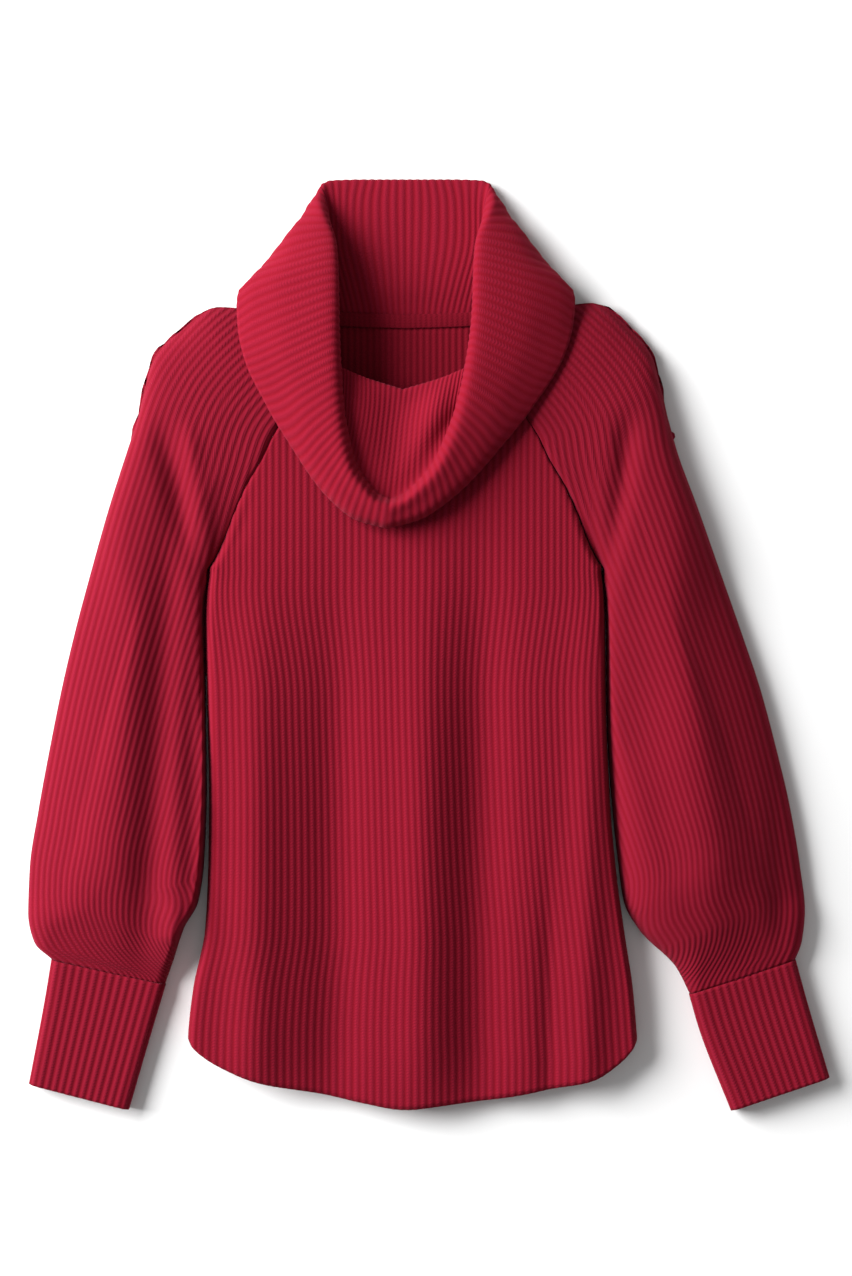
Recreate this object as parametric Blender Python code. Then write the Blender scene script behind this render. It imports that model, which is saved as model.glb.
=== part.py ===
"""Cowl neck sweater in ribbed knit, laid flat and front up on a surface.

Metres, +Z up. +Y runs from the hem to the neck, +X to the right as seen from above.
The origin is under the middle of the garment, on the surface it lies on.
The charts below are in chart units, counted from the top left of the pattern sheet.
"""
import math

import bmesh
import bpy
import numpy as np

# Driving sizes
UNIT = 0.00086            # one chart unit in metres
SHEET_X = 428.93          # chart column that lies over the origin
SHEET_Y = 644.48          # chart row that lies over the origin
MID = 406.0               # chart column of the garment's own middle
KNIT = 0.0024             # thickness of the knit between ribs
RIB = 0.0013              # height of a rib over its groove
GAP = 0.0003              # gap between linked pieces
EDGE_Z = 0.008            # height of the side fold over the surface
SIDE_ROLL = 0.013         # radius of the front's roll at the side

FRONT_RIBS = 62
FRONT_ROWS = 9
SLEEVE_RIBS = 26
CUFF_RIBS = 16
CUFF_ROWS = 3
COWL_RIBS = 76

# Side edge of the body: row, right-hand and left-hand columns
SIDES = (
    # row, wearer's right edge, wearer's left edge
    (520.0, 208.0, 603.0),
    (569.0, 207.0, 604.0),
    (620.0, 204.5, 606.0),
    (700.0, 206.0, 607.0),
    (800.0, 208.0, 611.0),
    (870.0, 207.0, 617.0),
    (930.0, 204.0, 625.0),
    (990.0, 192.0, 634.0),
    (1035.0, 187.0, 638.0),
    (1060.0, 186.0, 640.0),
)

# Curved hem: how far across the body from one side (-1) to the other (1), and its row
HEM = (
    # across, row
    (-1.0, 1035.0),
    (-0.92, 1054.0),
    (-0.83, 1067.0),
    (-0.65, 1083.0),
    (-0.40, 1094.0),
    (-0.20, 1104.0),
    (-0.04, 1109.5),
    (0.12, 1106.0),
    (0.40, 1098.0),
    (0.60, 1089.0),
    (0.78, 1080.0),
    (0.92, 1058.0),
    (1.0, 1035.0),
)

# Front raglan seam, from the underarm to the neck
RAGLAN = (
    # way along, columns from the middle, row, height in mm
    (0.00, 199.0, 569.0, 8.0),
    (0.06, 193.4, 562.0, 11.0),
    (0.14, 184.0, 545.0, 16.5),
    (0.26, 172.0, 515.0, 21.5),
    (0.40, 159.5, 487.0, 24.0),
    (0.55, 142.5, 458.0, 25.0),
    (0.68, 132.5, 437.0, 25.0),
    (0.84, 114.0, 409.0, 25.0),
    (1.00, 94.0, 380.0, 24.5),
)

# Back raglan seam, on the surface
RAGLAN_BACK = (
    # way along, columns from the middle, row, height in mm
    (0.00, 199.0, 569.0, 8.0),
    (0.08, 190.0, 553.0, 3.0),
    (0.18, 180.0, 531.0, 0.4),
    (0.35, 160.0, 487.0, 0.0),
    (0.60, 137.0, 420.0, 0.0),
    (0.85, 112.0, 350.0, 0.0),
    (1.00, 100.0, 312.0, 0.0),
)

# Neckline from the middle of the back round the shoulder to the middle of the front
NECK = (
    # way round, columns from the middle, row, height of the lower face in mm
    (0.00, 0.0, 320.0, 0.0),
    (0.19, 60.0, 318.0, 0.0),
    (0.32, 100.0, 312.0, 0.0),
    (0.375, 113.0, 309.0, 3.5),
    (0.44, 117.0, 322.0, 11.5),
    (0.52, 112.0, 346.0, 18.0),
    (0.60, 102.5, 369.0, 21.5),
    (0.65, 94.0, 380.0, 22.1),
    (0.753, 70.0, 403.0, 22.5),
    (0.869, 38.0, 424.0, 22.6),
    (0.94, 17.0, 430.0, 22.6),
    (1.00, 0.0, 431.5, 22.6),
)
NECK_BACK_END = 0.32      # way round where the back raglan meets the neckline
NECK_FRONT_END = 0.65     # way round where the front raglan meets the neckline

# Loft of the front along its middle
FRONT_LOFT = (
    # row, height in mm
    (380.0, 24.5),
    (440.0, 25.0),
    (560.0, 27.0),
    (700.0, 28.0),
    (900.0, 27.0),
    (1030.0, 23.0),
    (1110.0, 20.0),
)

# Outer edge of a sleeve from the cuff to the neck: both sleeves, columns outward
OUTER = (
    # way along, columns of the wearer's right sleeve, its row, columns of the left sleeve, its row
    (0.000, 50.0, 960.0, 797.0, 960.0),
    (0.028, 33.0, 944.0, 803.5, 942.0),
    (0.065, 26.5, 915.0, 806.5, 912.0),
    (0.130, 28.0, 870.0, 802.0, 870.0),
    (0.220, 37.0, 810.0, 792.0, 810.0),
    (0.310, 48.0, 750.0, 778.0, 750.0),
    (0.410, 60.0, 690.0, 762.0, 690.0),
    (0.500, 74.0, 630.0, 742.0, 630.0),
    (0.590, 90.0, 570.0, 721.0, 570.0),
    (0.680, 107.0, 510.0, 700.0, 510.0),
    (0.765, 126.0, 450.0, 678.0, 450.0),
    (0.815, 136.5, 418.0, 669.0, 418.0),
    (0.855, 144.0, 386.0, 661.5, 386.0),
    (0.890, 154.0, 354.0, 652.5, 354.0),
    (0.925, 181.0, 328.0, 630.0, 326.0),
    (0.960, 218.0, 305.0, 592.0, 301.0),
    (1.000, 290.0, 311.0, 522.0, 311.0),
)

# Inner edge of a sleeve, in the crease beside the body, from the cuff to the underarm
INNER = (
    # way along, columns of the right sleeve, its row, columns of the left sleeve, its row
    (0.00, 165.0, 985.0, 690.0, 995.0),
    (0.07, 173.0, 962.0, 676.0, 968.0),
    (0.16, 184.0, 929.0, 640.0, 932.0),
    (0.24, 198.0, 903.0, 624.0, 903.0),
    (0.34, 204.0, 862.0, 618.0, 862.0),
    (0.50, 206.5, 792.0, 611.0, 792.0),
    (0.70, 205.5, 708.0, 607.0, 708.0),
    (0.88, 203.8, 620.0, 606.5, 620.0),
    (1.00, 207.0, 569.0, 605.0, 569.0),
)

# Loft of a sleeve along its middle, and the radii of its two long folds
SLEEVE_LOFT = (
    # way along, height in mm, outer fold in mm, inner fold in mm
    (0.00, 18.0, 9.0, 9.0),
    (0.04, 25.0, 11.0, 10.0),
    (0.10, 34.0, 15.0, 12.0),
    (0.22, 40.0, 20.0, 14.0),
    (0.40, 38.0, 20.0, 13.0),
    (0.60, 33.0, 18.0, 12.0),
    (0.80, 28.0, 18.0, 12.0),
    (0.92, 23.0, 16.0, 12.0),
    (1.00, 20.0, 12.0, 12.0),
)

# Cuff: way down from the sleeve, outer and inner corners of both cuffs, height
CUFF = (
    # way down, right outer column, row, inner column, row, left outer column, row, inner column, row, mm
    (0.0, 50.0, 960.75, 165.0, 985.75, 797.0, 960.75, 690.0, 995.75, 18.0),
    (0.3, 43.5, 1000.0, 154.0, 1022.0, 807.0, 997.0, 700.0, 1030.0, 17.0),
    (1.0, 27.5, 1085.0, 128.0, 1111.0, 831.0, 1078.5, 732.0, 1112.0, 17.0),
)

# Soft ridges and troughs of the top face; a positive height stands out
FOLDS = (
    # from column, row, to column, row, half width in units, height in mm
    (335.0, 690.0, 332.0, 1150.0, 30.0, -6.5),
    (478.0, 620.0, 482.0, 1150.0, 30.0, -6.5),
    (410.0, 660.0, 408.0, 1150.0, 30.0, 4.0),
    (262.0, 640.0, 262.0, 1150.0, 28.0, 3.5),
    (592.0, 720.0, 590.0, 1150.0, 20.0, 3.5),
    (548.0, 800.0, 548.0, 1150.0, 18.0, -3.0),
    (170.0, 560.0, 158.0, 800.0, 15.0, -6.0),
    (206.0, 560.0, 176.0, 440.0, 13.0, -6.0),
    (606.0, 560.0, 628.0, 430.0, 12.0, -6.0),
    (778.0, 780.0, 776.0, 900.0, 14.0, -4.0),
    (245.0, 440.0, 232.0, 540.0, 12.0, -3.0),
)

# The cowl: each line runs from the middle of the back round to the middle of the front.
# Way round, columns out from the middle line, row, height of the ribbed face in mm.
COWL_SEAM_RISE = (
    (0.00, 0.0, 303.0, 4.8),
    (0.20, 66.0, 301.0, 5.0),
    (0.30, 91.0, 298.0, 6.5),
    (0.375, 106.0, 300.0, 9.0),
    (0.45, 108.0, 314.0, 15.5),
    (0.53, 102.0, 341.0, 20.0),
    (0.66, 85.0, 374.0, 23.5),
    (0.76, 66.0, 388.0, 24.0),
    (0.87, 39.0, 403.0, 24.5),
    (1.00, 0.0, 408.0, 24.8),
)
COWL_TURN = (
    (0.00, 0.0, 282.0, 7.3),
    (0.20, 70.0, 280.0, 7.5),
    (0.273, 82.0, 280.0, 9.0),
    (0.343, 93.0, 288.0, 12.0),
    (0.411, 97.0, 298.0, 18.0),
    (0.525, 92.0, 335.0, 26.0),
    (0.656, 74.0, 364.0, 29.0),
    (0.76, 61.0, 369.0, 30.5),
    (0.87, 37.0, 379.0, 31.0),
    (1.00, 0.0, 391.0, 31.0),
)
COWL_DRAPE = (
    (0.00, 0.0, 240.0, 7.6),
    (0.20, 76.0, 245.0, 9.0),
    (0.273, 80.0, 253.0, 13.0),
    (0.343, 82.0, 270.0, 18.0),
    (0.411, 84.0, 287.0, 25.0),
    (0.525, 79.0, 328.0, 32.5),
    (0.656, 68.0, 366.0, 35.0),
    (0.76, 58.0, 394.0, 36.5),
    (0.87, 34.0, 415.0, 38.0),
    (1.00, 0.0, 428.0, 38.5),
)
COWL_VALLEY = (
    (0.00, 0.0, 202.0, 7.4),
    (0.17, 72.0, 202.0, 8.2),
    (0.20, 79.0, 206.0, 9.5),
    (0.273, 76.5, 232.0, 15.5),
    (0.343, 71.5, 258.0, 22.0),
    (0.411, 72.0, 280.0, 30.0),
    (0.525, 69.5, 324.0, 37.0),
    (0.656, 64.0, 374.0, 39.0),
    (0.741, 57.0, 410.0, 39.0),
    (0.823, 47.0, 440.0, 38.0),
    (0.876, 37.0, 460.0, 37.0),
    (0.927, 22.0, 479.0, 36.0),
    (1.00, 0.0, 493.0, 35.5),
)
COWL_RIM = (
    (0.00, 0.0, 179.5, 5.4),
    (0.10, 42.0, 179.5, 5.4),
    (0.17, 74.0, 180.5, 6.3),
    (0.20, 83.0, 188.0, 10.5),
    (0.236, 80.0, 203.0, 15.5),
    (0.273, 76.5, 219.0, 21.0),
    (0.343, 69.0, 247.0, 29.0),
    (0.411, 67.0, 275.0, 36.0),
    (0.525, 65.5, 322.0, 42.0),
    (0.656, 60.5, 376.0, 44.5),
    (0.741, 55.0, 411.0, 45.0),
    (0.823, 46.0, 445.0, 44.5),
    (0.876, 38.5, 466.0, 43.5),
    (0.927, 25.0, 484.0, 42.5),
    (0.968, 11.5, 497.0, 42.0),
    (1.00, 0.0, 501.0, 42.0),
)
COWL_ROLL = (
    (0.00, 0.0, 179.5, 1.8),
    (0.10, 42.0, 179.5, 1.8),
    (0.17, 76.0, 180.5, 2.2),
    (0.20, 86.0, 184.0, 5.5),
    (0.236, 89.0, 197.0, 16.0),
    (0.273, 85.0, 215.0, 26.0),
    (0.343, 77.0, 243.0, 35.5),
    (0.411, 75.0, 271.0, 43.0),
    (0.525, 74.0, 321.0, 49.5),
    (0.656, 69.0, 378.0, 52.0),
    (0.741, 62.5, 417.0, 52.0),
    (0.823, 52.0, 452.0, 51.5),
    (0.876, 42.0, 474.0, 51.0),
    (0.927, 27.0, 492.0, 50.5),
    (0.968, 12.5, 504.0, 50.0),
    (1.00, 0.0, 508.0, 50.0),
)
COWL_FLAP = (
    (0.00, 0.0, 200.0, 0.0),
    (0.17, 78.0, 200.0, 0.0),
    (0.20, 88.0, 202.0, 0.6),
    (0.236, 97.0, 203.0, 6.5),
    (0.273, 104.0, 215.0, 13.5),
    (0.30, 112.0, 228.0, 20.0),
    (0.343, 117.0, 252.0, 29.0),
    (0.411, 120.0, 283.0, 38.5),
    (0.525, 115.0, 338.0, 45.0),
    (0.656, 97.0, 393.0, 47.5),
    (0.741, 81.0, 433.0, 48.0),
    (0.823, 62.0, 467.0, 48.0),
    (0.876, 48.0, 488.0, 48.0),
    (0.927, 30.0, 505.0, 47.5),
    (1.00, 0.0, 520.0, 47.5),
)
COWL_BEND = (
    (0.00, 0.0, 245.0, 0.0),
    (0.20, 90.0, 245.0, 0.0),
    (0.236, 99.0, 232.0, 0.4),
    (0.273, 107.0, 236.0, 2.0),
    (0.30, 121.5, 242.0, 6.5),
    (0.343, 142.0, 263.0, 14.0),
    (0.38, 150.0, 277.0, 24.0),
    (0.411, 151.0, 293.0, 30.0),
    (0.525, 144.0, 350.0, 36.0),
    (0.656, 117.0, 406.0, 39.5),
    (0.741, 94.0, 447.0, 41.5),
    (0.823, 70.0, 480.0, 43.0),
    (0.876, 52.0, 500.0, 44.0),
    (0.927, 32.0, 514.5, 44.5),
    (1.00, 0.0, 526.0, 44.5),
)
COWL_EDGE = (
    (0.00, 0.0, 291.0, 0.0),
    (0.20, 95.0, 290.0, 0.0),
    (0.273, 117.0, 288.0, 0.0),
    (0.30, 129.0, 285.0, 0.4),
    (0.343, 150.0, 283.0, 5.0),
    (0.38, 167.0, 290.0, 17.0),
    (0.411, 169.0, 304.0, 22.0),
    (0.46, 167.0, 328.0, 25.5),
    (0.525, 160.0, 356.0, 29.5),
    (0.656, 131.0, 410.0, 32.5),
    (0.741, 102.0, 451.0, 34.0),
    (0.823, 74.5, 486.0, 36.0),
    (0.876, 53.5, 506.0, 37.0),
    (0.927, 33.0, 520.0, 38.0),
    (1.00, 0.0, 529.5, 38.0),
)
COWL_LINES = (COWL_SEAM_RISE, COWL_TURN, COWL_DRAPE, COWL_VALLEY, COWL_RIM, COWL_ROLL,
              COWL_FLAP, COWL_BEND, COWL_EDGE)
# Rows of the cowl's mesh, counted in lines from the seam
COWL_STEPS = (0.0, 1.0, 1.7, 2.3, 3.0, 4.0, 4.6, 5.2, 5.9, 6.8, 7.9, 9.0)


def along(table, t, column):
    """Smooth reading of one column of a chart at t, with no overshoot."""
    rows = np.asarray(table, dtype=float)
    xs = rows[:, 0]
    ys = rows[:, column]
    t = np.clip(np.asarray(t, dtype=float), xs[0], xs[-1])
    step = np.diff(xs)
    slope = np.diff(ys) / step
    tangent = np.zeros_like(ys)
    tangent[0] = slope[0]
    tangent[-1] = slope[-1]
    for i in range(1, len(xs) - 1):
        if slope[i - 1] * slope[i] > 0.0:
            wa = 2.0 * step[i] + step[i - 1]
            wb = step[i] + 2.0 * step[i - 1]
            tangent[i] = (wa + wb) / (wa / slope[i - 1] + wb / slope[i])
    k = np.clip(np.searchsorted(xs, t, side="right") - 1, 0, len(xs) - 2)
    u = (t - xs[k]) / step[k]
    h00 = (1.0 + 2.0 * u) * (1.0 - u) ** 2
    h10 = u * (1.0 - u) ** 2
    h01 = u * u * (3.0 - 2.0 * u)
    h11 = u * u * (u - 1.0)
    return h00 * ys[k] + h10 * step[k] * tangent[k] + h01 * ys[k + 1] + h11 * step[k] * tangent[k + 1]


def place(column, row, height):
    """Chart column and row with a height in mm, as a point in metres."""
    x = (np.asarray(column, dtype=float) - SHEET_X) * UNIT
    y = (SHEET_Y - np.asarray(row, dtype=float)) * UNIT
    z = np.asarray(height, dtype=float) * 0.001
    return np.stack(np.broadcast_arrays(x, y, z), axis=-1)


def ease(value):
    """Soft step from 0 to 1."""
    v = np.clip(value, 0.0, 1.0)
    return v * v * (3.0 - 2.0 * v)


def relief(column, row):
    """Height in mm of the soft folds at a place on the top face."""
    column = np.asarray(column, dtype=float)
    row = np.asarray(row, dtype=float)
    total = np.zeros(np.broadcast(column, row).shape)
    for x0, y0, x1, y1, wide, high in FOLDS:
        dx = x1 - x0
        dy = y1 - y0
        length = math.hypot(dx, dy)
        t = ((column - x0) * dx + (row - y0) * dy) / (length * length)
        off = ((column - x0) * dy - (row - y0) * dx) / length
        fade = ease((t + 0.25) / 0.7) * ease((1.15 - t) / 0.3)
        total += high * fade * np.exp(-(off / wide) ** 2)
    return total


def normals(grid, closed):
    """Unit normals of a grid of points, rows by columns."""
    down = np.gradient(grid, axis=0)
    if closed:
        side = (np.roll(grid, -1, axis=1) - np.roll(grid, 1, axis=1)) * 0.5
    else:
        side = np.gradient(grid, axis=1)
    n = np.cross(side, down)
    size = np.linalg.norm(n, axis=2, keepdims=True)
    return n / np.maximum(size, 1e-12)


def keep_in_plane(n, cut):
    """Turn normals so that they have no part along the cut directions."""
    cut = cut / np.maximum(np.linalg.norm(cut, axis=-1, keepdims=True), 1e-12)
    out = n - np.sum(n * cut, axis=-1, keepdims=True) * cut
    return out / np.maximum(np.linalg.norm(out, axis=-1, keepdims=True), 1e-12)


def zipper(faces, fine, coarse, keep):
    """Close the strip between a fine run of vertices and the coarse run that keeps some of them."""
    for j in range(len(keep) - 1):
        middle = (keep[j] + keep[j + 1]) // 2
        for i in range(keep[j], middle):
            faces.append((fine[i], fine[i + 1], coarse[j]))
        faces.append((fine[middle], coarse[j + 1], coarse[j]))
        for i in range(middle, keep[j + 1]):
            faces.append((fine[i], fine[i + 1], coarse[j + 1]))


def knit(name, colour, outer, inner, keep, closed):
    """One knitted piece: a ribbed outer grid over a plain inner grid, closed all round."""
    rows, cols = outer.shape[:2]
    inner = inner[:, keep]
    icols = inner.shape[1]
    mesh = bpy.data.meshes.new(name)
    shape = bmesh.new()
    outside = [[shape.verts.new(outer[i, j]) for j in range(cols)] for i in range(rows)]
    inside = [[shape.verts.new(inner[i, j]) for j in range(icols)] for i in range(rows)]
    faces = []
    for grid, flip in ((outside, False), (inside, True)):
        count = len(grid[0])
        for i in range(rows - 1):
            for j in range(count if closed else count - 1):
                k = (j + 1) % count
                quad = (grid[i][j], grid[i][k], grid[i + 1][k], grid[i + 1][j])
                tri = ((quad[0], quad[1], quad[2]), (quad[0], quad[2], quad[3]))
                for face in tri:
                    faces.append(tuple(reversed(face)) if flip else face)
    for i in (0, rows - 1):
        a = outside[i] + ([outside[i][0]] if closed else [])
        b = inside[i] + ([inside[i][0]] if closed else [])
        zipper(faces, a, b, keep + [cols] if closed else keep)
    if not closed:
        for i in range(rows - 1):
            for j, k in ((0, 0), (cols - 1, icols - 1)):
                faces.append((outside[i][j], outside[i + 1][j], inside[i + 1][k]))
                faces.append((outside[i][j], inside[i + 1][k], inside[i][k]))
    for face in faces:
        shape.faces.new(face)
    bmesh.ops.recalc_face_normals(shape, faces=shape.faces)
    if shape.calc_volume(signed=True) < 0.0:
        bmesh.ops.reverse_faces(shape, faces=shape.faces)
    shape.to_mesh(mesh)
    shape.free()
    mesh.shade_smooth()
    mesh.materials.append(colour)
    piece = bpy.data.objects.new(name, mesh)
    bpy.context.scene.collection.objects.link(piece)
    return piece


def wool(name, rgb):
    """Soft matt knit colour."""
    material = bpy.data.materials.new(name)
    material.use_nodes = True
    shader = material.node_tree.nodes["Principled BSDF"]
    shader.inputs["Base Color"].default_value = (*rgb, 1.0)
    shader.inputs["Roughness"].default_value = 0.92
    shader.inputs["Metallic"].default_value = 0.0
    return material


def rounded(t):
    """Quarter round from 0 at the edge to 1 one radius in."""
    v = np.clip(t, 0.0, 1.0)
    return np.sqrt(np.maximum(0.0, 1.0 - (1.0 - v) ** 2))


def across(s, width, first, second):
    """Plan place and lift of a point at share s of the way round a face with two rolled edges.

    All lengths are in chart units. The lifts run from 0 at each edge to 1 past its roll.
    """
    extra = math.pi / 2.0 - 1.0
    length = width + extra * (first + second)
    run = s * length
    back = length - run
    near = np.clip(run / first, 0.0, math.pi / 2.0)
    far = np.clip(back / second, 0.0, math.pi / 2.0)
    plan = np.where(
        run < back,
        np.where(run < first * math.pi / 2.0, first * (1.0 - np.cos(near)), run - extra * first),
        width - np.where(back < second * math.pi / 2.0, second * (1.0 - np.cos(far)), back - extra * second),
    )
    return plan / width, np.sin(near), np.sin(far)


def boundary(neck_from, neck_to, raglan):
    """Row and height of a panel's upper edge, by columns from the middle."""
    ways = np.linspace(neck_from, neck_to, 60)
    out = [along(NECK, ways, c) for c in (1, 2, 3)]
    steps = np.linspace(1.0, 0.0, 120)
    sew = [along(raglan, steps, c) for c in (1, 2, 3)]
    columns = np.concatenate([out[0], sew[0]])
    order = np.argsort(columns, kind="stable")
    rows = np.concatenate([out[1], sew[1]])[order]
    heights = np.concatenate([out[2] + KNIT * 1000.0 * (raglan is RAGLAN), sew[2]])[order]
    return columns[order], rows, heights


def panel(front):
    """Plan columns, rows and top-face heights of the front, or the flat lower face of the back."""
    count = 2 * FRONT_RIBS if front else 28
    if front:
        edge = boundary(1.0, NECK_FRONT_END, RAGLAN)
    else:
        edge = boundary(0.0, NECK_BACK_END, RAGLAN_BACK)
    roll = (SIDE_ROLL if front else EDGE_Z) / UNIT
    fold = EDGE_Z * 1000.0
    hem_rows = np.asarray(HEM)
    underarm = 569.0
    share = np.linspace(-1.0, 1.0, count + 1)
    grid = np.zeros((FRONT_ROWS + 1, count + 1, 3))
    for j, m in enumerate(share):
        hem = float(along(hem_rows, m, 1)) if abs(m) < 1.0 else 1035.0

        def column_at(row):
            low = max(row, underarm)
            inset = 0.5 + 3.4 * math.exp(-((low - underarm) / 15.0) ** 2)
            left = float(along(SIDES, low, 1)) + inset
            right = float(along(SIDES, low, 2)) - inset
            spread = 1.0 + 0.13 * float(ease((700.0 - row) / 140.0)) * front
            h = spread * m - (spread - 1.0) * m ** 5
            plan, near, far = across(0.5 + 0.5 * h, right - left, roll, roll)
            return left + float(plan) * (right - left), float(min(near, far))

        top = underarm
        for _ in range(12):
            column, lift = column_at(top)
            top = float(np.interp(abs(column - MID) + 0.35, edge[0], edge[1])) + 0.25
        if abs(m) == 1.0:
            top = underarm + 3.0
        for i in range(FRONT_ROWS + 1):
            row = hem + (top - hem) * i / FRONT_ROWS
            column, lift = column_at(row)
            if row > underarm:
                base = fold
                rise = lift
            else:
                seam = float(np.interp(row, RAGLAN_ROWS, RAGLAN_COLUMNS))
                if not front:
                    seam = float(np.interp(row, BACK_ROWS, BACK_COLUMNS))
                base = float(np.interp(abs(column - MID) if row < 380.0 and front else seam,
                                       edge[0], edge[2]))
                rise = float(rounded((seam - abs(column - MID)) / roll)) if row > 380.0 or not front else 1.0
            if front:
                loft = float(along(FRONT_LOFT, row, 1))
                near_seam = float(ease((seam_room(row) - abs(column - MID)) / 22.0))
                height = base + (loft - base) * rise + float(relief(column, row)) * near_seam * rise
                height = max(height, fold + GAP * 500.0)
            else:
                height = max(0.0, min(base, fold) * (1.0 - rise))
            grid[i, j] = place(column, row, height)
    return grid


def seam_room(row):
    """Columns from the middle to the edge of the front at a row."""
    if row > 569.0:
        return 0.5 * float(along(SIDES, row, 2) - along(SIDES, row, 1)) + 22.0
    return float(np.interp(row, RAGLAN_ROWS, RAGLAN_COLUMNS))


WAYS = np.linspace(1.0, 0.0, 160)
RAGLAN_ROWS = along(RAGLAN, WAYS, 2)
RAGLAN_COLUMNS = along(RAGLAN, WAYS, 1)
BACK_ROWS = along(RAGLAN_BACK, WAYS, 2)
BACK_COLUMNS = along(RAGLAN_BACK, WAYS, 1)


def edge_cut(points):
    """Level direction square to a run of points, for each of them."""
    run = np.gradient(points, axis=0)
    cut = np.stack([-run[:, 1], run[:, 0], np.zeros(len(run))], axis=-1)
    return cut


def make_front(colour):
    """Front: a ribbed sheet from the curved hem to the raglan seams and the neck."""
    plain = panel(True)
    out = normals(plain, False)
    if out[5, 60, 2] < 0.0:
        out = -out
    out[:, 0] = keep_in_plane(out[:, 0], np.array([0.0, 0.0, 1.0]))
    out[:, -1] = keep_in_plane(out[:, -1], np.array([0.0, 0.0, 1.0]))
    out[-1, 1:-1] = keep_in_plane(out[-1, 1:-1], edge_cut(plain[-1])[1:-1])
    out[0, 1:-1] = keep_in_plane(out[0, 1:-1], edge_cut(plain[0])[1:-1])
    lift = np.zeros(plain.shape[1])
    lift[1::2] = RIB
    lift[0] = 0.0
    outer = plain + out * lift[None, :, None] * np.clip(out[:, :, 2:3] * 1.6, 0.0, 1.0)
    return knit("front", colour, outer, plain - out * KNIT, list(range(0, 2 * FRONT_RIBS + 1, 4)), False)


def make_back(colour):
    """Back: the plain sheet under the front, flat on the surface and turned up at its sides."""
    plain = panel(False)
    out = normals(plain, False)
    if out[5, 14, 2] > 0.0:
        out = -out
    out[:, 0] = keep_in_plane(out[:, 0], np.array([0.0, 0.0, 1.0]))
    out[:, -1] = keep_in_plane(out[:, -1], np.array([0.0, 0.0, 1.0]))
    out[-1, 1:-1] = keep_in_plane(out[-1, 1:-1], edge_cut(plain[-1])[1:-1])
    out[0, 1:-1] = keep_in_plane(out[0, 1:-1], edge_cut(plain[0])[1:-1])
    inner = plain - out * KNIT
    top = EDGE_Z - GAP * 0.5
    plain[:, :, 2] = np.minimum(plain[:, :, 2], top)
    inner[:, :, 2] = np.minimum(inner[:, :, 2], top)
    return knit("back", colour, plain, inner, list(range(plain.shape[1])), False)


def sleeve_ring(under, share, side):
    """Top edge of a sleeve at a share of the way from the underarm to the shoulder's fold."""
    raglan = RAGLAN_BACK if under else RAGLAN
    start = NECK_BACK_END if under else NECK_FRONT_END
    if share <= 0.8:
        t = share / 0.8
        dx, row, high = (float(along(raglan, t, c)) for c in (1, 2, 3))
        dx += 0.3 + 0.6 * (1.0 - float(ease(t / 0.14)))
    else:
        way = start + (0.40 - start) * (share - 0.8) / 0.2
        dx, row, high = (float(along(NECK, way, c)) for c in (1, 2, 3))
        dx += 0.3
        row += 1.2 * float(ease((share - 0.88) / 0.12))
        high += KNIT * 1000.0 * float(ease((way - 0.40) / 0.12))
    return np.array([MID + side * dx, row]), high


def seam_direction(under, share, side):
    """Level direction square to a sleeve's top edge, along which the next piece follows."""
    if share <= 0.8:
        low = sleeve_ring(under, max(share - 0.01, 0.0), side)[0]
        high = sleeve_ring(under, min(share + 0.01, 0.8), side)[0]
        run = high - low
        return np.array([run[1], run[0], 0.0])
    start = NECK_BACK_END if under else NECK_FRONT_END
    way = start + (0.40 - start) * (share - 0.8) / 0.2
    dx = float(along(COWL_SEAM_RISE, way, 1) - along(NECK, way, 1))
    dy = float(along(COWL_SEAM_RISE, way, 2) - along(NECK, way, 2))
    return np.array([side * dx, -dy, 0.0])


def sleeve_plan(under, share, v, side):
    """Plan place of a sleeve's face: share 0 in the crease, 1 at the outer fold, v up the sleeve."""
    ic, ir, oc, orow = (1, 2, 1, 2) if side < 0 else (3, 4, 3, 4)

    def line(table, t, a, b, shift):
        return np.array([float(along(table, t, a)) + shift, float(along(table, t, b))])

    gap = 0.9 * side
    start = line(INNER, 0.0, ic, ir, gap) * (1.0 - share) + line(OUTER, 0.0, oc, orow, 0.0) * share
    ring, high = sleeve_ring(under, share, side)
    inner = line(INNER, v, ic, ir, gap)
    inner_chord = line(INNER, 0.0, ic, ir, gap) * (1.0 - v) + line(INNER, 1.0, ic, ir, gap) * v
    outer = line(OUTER, v, oc, orow, 0.0)
    outer_chord = line(OUTER, 0.0, oc, orow, 0.0) * (1.0 - v) + line(OUTER, 1.0, oc, orow, 0.0) * v
    return (start * (1.0 - v) + ring * v + (inner - inner_chord) * (1.0 - share)
            + (outer - outer_chord) * share), high


def wrist_axis(ring):
    """Level direction square to the flattened ring of a cuff."""
    line = ring[np.argmax(ring[:, 0])] - ring[np.argmin(ring[:, 0])]
    return np.array([-line[1], line[0], 0.0])


UNDER = (0.045, 0.09, 0.3, 0.5, 0.7, 0.91, 0.955)


def beside_body(row, under, side):
    """Columns from the middle to the body's edge or raglan seam at a row."""
    if row > 569.0:
        return side * (float(along(SIDES, row, 1 if side < 0 else 2)) - MID) if row < 930.0 else 0.0
    if under:
        return float(np.interp(row, BACK_ROWS, BACK_COLUMNS))
    return float(np.interp(row, RAGLAN_ROWS, RAGLAN_COLUMNS)) if row > 380.0 else 0.0


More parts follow.
